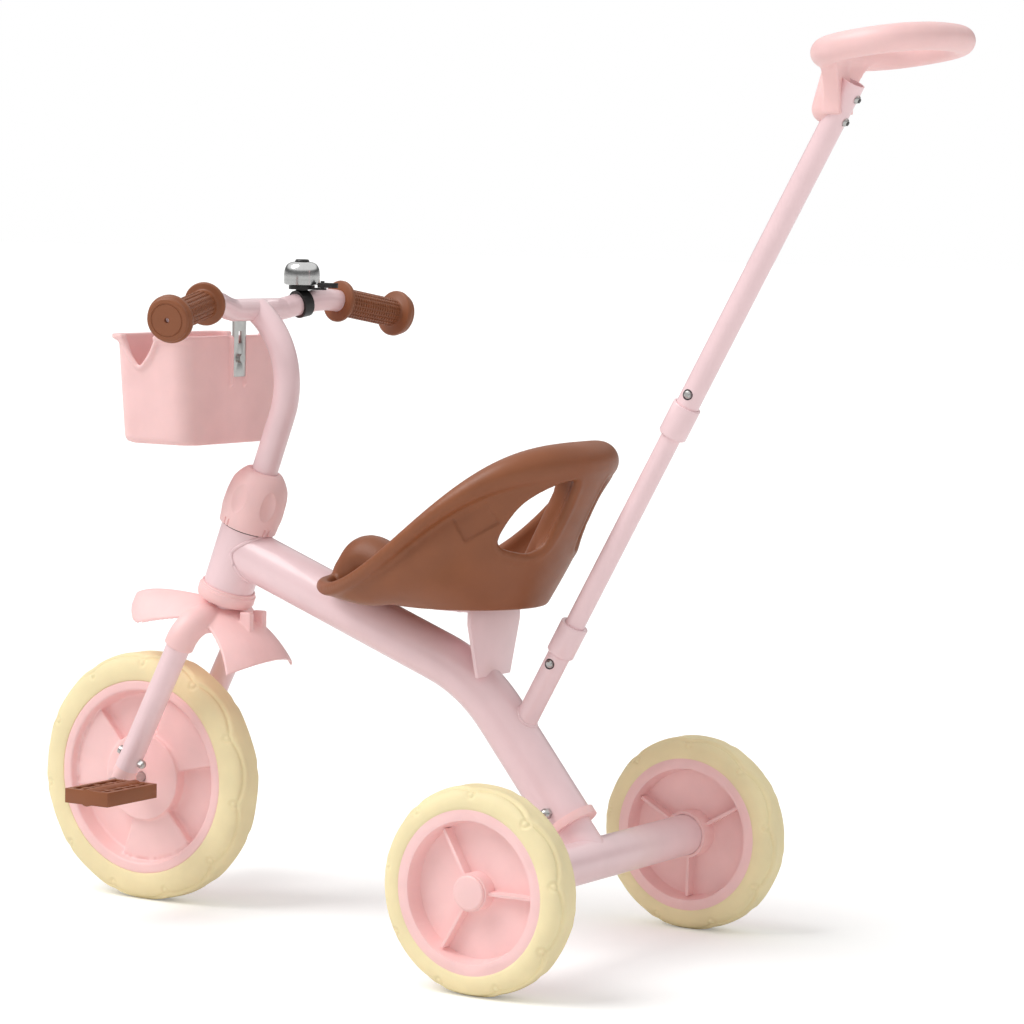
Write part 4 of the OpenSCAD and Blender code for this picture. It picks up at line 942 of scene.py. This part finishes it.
# Bell dome: a turned shell
DOME_SHARES = [(1, 0), (1, 0.2), (0.995, 0.45), (0.95, 0.68), (0.83, 0.86), (0.65, 0.96), (0.4, 1), (0.16, 1)]
DOME_WALL, DOME_STEPS, DOME_SPAN_STEPS = 1.5 * MM, 96, 8
dome_middle, dome_reach = middle_and_reach("bell_dome")
dome_place = Matrix.Translation(dome_middle - Vector((0, 0, dome_reach.z)))
dome_out = [(r * dome_reach.x, h * 2 * dome_reach.z) for r, h in smooth_profile(DOME_SHARES, DOME_SPAN_STEPS)]
dome_in = [(r * (1 - DOME_WALL / dome_reach.x), h - DOME_WALL * (h > 0)) for r, h in reversed(dome_out)]
dome_mesh = lathe("bell_dome", dome_place, dome_out + dome_in + dome_out[:1], DOME_STEPS)
stand_in("bell_dome", "_turned", dome_mesh, TURNED_CREASE)

# Widths of the rounded edges on the other nodes, in millimetres
SOFT_EDGES = {
    "left_rim": 1.4, "right_rim": 1.4, "left_hub_cap": 0.7, "right_hub_cap": 0.7,
    "left_pedal": 1.0, "right_pedal": 1.0, "lower_collar": 0.8, "upper_collar": 0.8, "tube_collar": 1.2,
    "basket_bracket": 0.5, "lower_bearing_cup": 0.8, "bell_cap": 0.6, "bell_striker": 0.8,
}
for node_name, width in SOFT_EDGES.items():
    softened(node_name, width * MM)


# Weld beads where one tube runs into another

WELD_STEPS, WELD_SIDES = 96, 10


def weld(name, start, ahead, radius, other_start, other_ahead, other_radius, bead):
    """A bead round the line where a tube meets the outside of another tube."""
    across = Vector((1, 0, 0))
    rise = ahead.cross(across)
    along = ahead - ahead.dot(other_ahead) * other_ahead
    path = []
    for k in range(WELD_STEPS + 1):
        angle = 2 * math.pi * k / WELD_STEPS
        ring = start + radius * MM * (math.cos(angle) * across + math.sin(angle) * rise)
        off = ring - other_start
        off -= off.dot(other_ahead) * other_ahead
        a, b, c = along.dot(along), 2 * along.dot(off), off.dot(off) - (other_radius * MM) ** 2
        path.append(ring + ahead * ((math.sqrt(max(b * b - 4 * a * c, 0.0)) - b) / (2 * a)))
    add_piece(name, sweep(name, path, bead * MM, WELD_SIDES), "painted_steel", "frame")


MAIN_R, MAIN_UP_HEAD, MAIN_DROP, HEAD_BEAD = 24.5, 47, 20.5, 1.9
weld("head_weld", HEAD_FOOT + HEAD_LEAN * MAIN_UP_HEAD * MM, leaning(90 + MAIN_DROP), MAIN_R,
     HEAD_FOOT, HEAD_LEAN, HEAD_R, HEAD_BEAD)
POLE_FOOT, POLE_LEAN, POLE_R = spot(0, -41.7, 284), leaning(28.5), 11.0
REAR_FOOT, REAR_SLOPE, POLE_BELOW, SOCKET_BEAD = spot(0, 0, 95), 51, 60, 1.5
weld("socket_weld", POLE_FOOT - POLE_LEAN * POLE_BELOW * MM, POLE_LEAN, POLE_R,
     REAR_FOOT, leaning(REAR_SLOPE - 90), MAIN_R, SOCKET_BEAD)


# Painted shade: a dark hexagon fills the socket of each screw of the push handle, in place of the shade in
# its recess, and a dark ring round each snap button stands for the shade in the hole it sits in

def islands(node):
    """The points of each loose part of a node, from the lowest part up."""
    work = bmesh.new()
    work.from_mesh(nodes[node].data)
    bmesh.ops.remove_doubles(work, verts=work.verts, dist=1e-6)
    left, found = set(work.verts), []
    while left:
        stack, group = [left.pop()], []
        while stack:
            vert = stack.pop()
            group.append(vert.co.copy())
            for edge in vert.link_edges:
                other = edge.other_vert(vert)
                if other in left:
                    left.discard(other)
                    stack.append(other)
        found.append(group)
    work.free()
    return sorted(found, key=lambda group: min(point.z for point in group))


SOCKET_R, SOCKET_DEPTH, SOCKET_PROUD, SOCKET_SIDES = 2.3 * MM, 0.7 * MM, 0.1 * MM, 6
rearward = Vector((0, POLE_LEAN.z, -POLE_LEAN.y))
for number, group in enumerate(islands("handle_screws")):
    foot = sum(group, Vector()) / len(group)
    top = max((point - foot).dot(rearward) for point in group)
    # The socket is a solid dark hexagon standing a little proud of the head: painted shade of the recess
    low, high = top - SOCKET_DEPTH, top + SOCKET_PROUD
    name = "handle_screw_socket_%d" % number
    mesh = lathe(name, along_axis(foot, rearward), [(0, low), (SOCKET_R, low), (SOCKET_R, high), (0, high)],
                 SOCKET_SIDES)
    add_piece(name, mesh, "dark_plastic", "frame")
    mesh.shade_flat()

# Painted shade: a thin dark ring laid on the pole round each snap button stands for the shade in the gap of
# its hole
BUTTON_SHADE_R, BUTTON_SHADE_T, BUTTON_SHADE_STEPS, BUTTON_SHADE_SIDES = 4.5, 0.6, 48, 8
BUTTON_SHADE_RINGS = {"lower_button_ring": -7, "upper_button_ring": 289}
for name, along in BUTTON_SHADE_RINGS.items():
    loop = []
    for k in range(BUTTON_SHADE_STEPS + 1):
        angle = 2 * math.pi * k / BUTTON_SHADE_STEPS
        off = BUTTON_SHADE_R * math.cos(angle)
        loop.append(POLE_FOOT + (POLE_LEAN * (along + BUTTON_SHADE_R * math.sin(angle)) + rearward * off
                                 + Vector((math.sqrt(POLE_R ** 2 - off ** 2), 0, 0))) * MM)
    add_piece(name, sweep(name, loop, BUTTON_SHADE_T * MM, BUTTON_SHADE_SIDES), "dark_plastic", "frame")


# Floor, light and camera

def add_node(tree, kind, inputs):
    """A shader node with its inputs set to values or linked to sockets."""
    made = tree.nodes.new("ShaderNode" + kind)
    for socket, value in inputs.items():
        if isinstance(value, bpy.types.NodeSocket):
            tree.links.new(value, made.inputs[socket])
        else:
            made.inputs[socket].default_value = value
    return made


FLOOR_SIZE, FLOOR_ROUGH, FLOOR_SPECULAR = 80.0, 0.9, 0.1
# Glow that only the camera sees, so that the floor runs into the white behind it
FLOOR_GLOW = 0.22
bpy.ops.mesh.primitive_plane_add(size=FLOOR_SIZE, location=(0, 0, 0))
floor = bpy.context.object
floor.name = "floor"
floor_paint = bpy.data.materials.new("floor")
floor_paint.use_nodes = True
floor_tree = floor_paint.node_tree
floor_shader = floor_tree.nodes["Principled BSDF"]
floor_shader.inputs["Base Color"].default_value = linear(FLOOR)
floor_shader.inputs["Roughness"].default_value = FLOOR_ROUGH
floor_shader.inputs["Specular IOR Level"].default_value = FLOOR_SPECULAR
floor_path = add_node(floor_tree, "LightPath", {})
glow_share = add_node(floor_tree, "Math", {0: floor_path.outputs["Is Camera Ray"], 1: FLOOR_GLOW})
glow_share.operation = "MULTIPLY"
glow = add_node(floor_tree, "Emission", {"Color": WHITE, "Strength": glow_share.outputs[0]})
both = add_node(floor_tree, "AddShader", {0: floor_shader.outputs[0], 1: glow.outputs[0]})
floor_tree.links.new(both.outputs[0], floor_tree.nodes["Material Output"].inputs["Surface"])
floor.data.materials.append(floor_paint)

SKY_LEVEL, SEEN_LEVEL = 0.62, 1.0
# Bright metal reflects a studio with a dark low wall under a white ceiling
WALL_TONES = [(0.0, 0.8), (0.52, 0.55), (0.56, 0.12), (0.64, 0.16), (0.72, 1.0), (1.0, 1.0)]
world = bpy.data.worlds.new("studio")
bpy.context.scene.world = world
world.use_nodes = True
sky = world.node_tree
sky_light = sky.nodes["Background"]
sky_light.inputs["Color"].default_value = WHITE
sky_light.inputs["Strength"].default_value = SKY_LEVEL
sky_seen = add_node(sky, "Background", {"Color": WHITE, "Strength": SEEN_LEVEL})
sky_path = add_node(sky, "LightPath", {})
sky_mix = add_node(sky, "MixShader", {"Fac": sky_path.outputs["Is Camera Ray"],
                                      1: sky_light.outputs[0], 2: sky_seen.outputs[0]})
sky_place = add_node(sky, "TexCoord", {})
sky_parts = add_node(sky, "SeparateXYZ", {0: sky_place.outputs["Generated"]})
sky_height = add_node(sky, "MapRange", {"Value": sky_parts.outputs["Z"], "From Min": -1.0, "From Max": 1.0})
sky_ramp = add_node(sky, "ValToRGB", {"Fac": sky_height.outputs["Result"]})
stops = sky_ramp.color_ramp.elements
for height, tone in WALL_TONES[1:-1]:
    stops.new(height).color = (tone, tone, tone, 1.0)
stops[0].color = (WALL_TONES[0][1],) * 3 + (1.0,)
stops[len(stops) - 1].color = (WALL_TONES[-1][1],) * 3 + (1.0,)
sky_mirrored = add_node(sky, "Background", {"Color": sky_ramp.outputs["Color"]})
mirror_mix = add_node(sky, "MixShader", {"Fac": sky_path.outputs["Is Glossy Ray"],
                                         1: sky_mix.outputs[0], 2: sky_mirrored.outputs[0]})
sky.links.new(mirror_mix.outputs[0], sky.nodes["World Output"].inputs["Surface"])

KEY_STRENGTH = 1.75
KEY_SOFTNESS = math.radians(38)
KEY_FROM = Vector((1.0, -0.9, 1.75))
key = bpy.data.objects.new("key_light", bpy.data.lights.new("key_light", "SUN"))
key.data.energy = KEY_STRENGTH
key.data.angle = KEY_SOFTNESS
key.rotation_mode = "QUATERNION"
key.rotation_quaternion = KEY_FROM.to_track_quat("Z", "Y")
bpy.context.scene.collection.objects.link(key)

CAMERA_PLACE = spot(3047.64, 1767.63, 709.01)
CAMERA_AZIMUTH = math.radians(121.45)
CAMERA_ELEVATION = math.radians(4.66)
CAMERA_ROLL = math.radians(1.19)
CAMERA_LENS, CAMERA_SENSOR = 132.90, 36
CAMERA_NEAR, CAMERA_FAR = 0.05, 100
camera = bpy.data.objects.new("camera", bpy.data.cameras.new("camera"))
bpy.context.scene.collection.objects.link(camera)
bpy.context.scene.camera = camera
camera.data.sensor_width = CAMERA_SENSOR
camera.data.lens = CAMERA_LENS
camera.data.clip_start = CAMERA_NEAR
camera.data.clip_end = CAMERA_FAR
back = Vector((math.sin(CAMERA_AZIMUTH) * math.cos(CAMERA_ELEVATION),
               -math.cos(CAMERA_AZIMUTH) * math.cos(CAMERA_ELEVATION), math.sin(CAMERA_ELEVATION)))
right = (-back).cross(Vector((0, 0, 1))).normalized()
up = right.cross(-back)
rolled_right = right * math.cos(CAMERA_ROLL) + up * math.sin(CAMERA_ROLL)
rolled_up = up * math.cos(CAMERA_ROLL) - right * math.sin(CAMERA_ROLL)
turned = Matrix((rolled_right, rolled_up, back)).transposed()
camera.matrix_world = Matrix.Translation(CAMERA_PLACE) @ turned.to_4x4()

bpy.context.scene.view_settings.view_transform = "Standard"
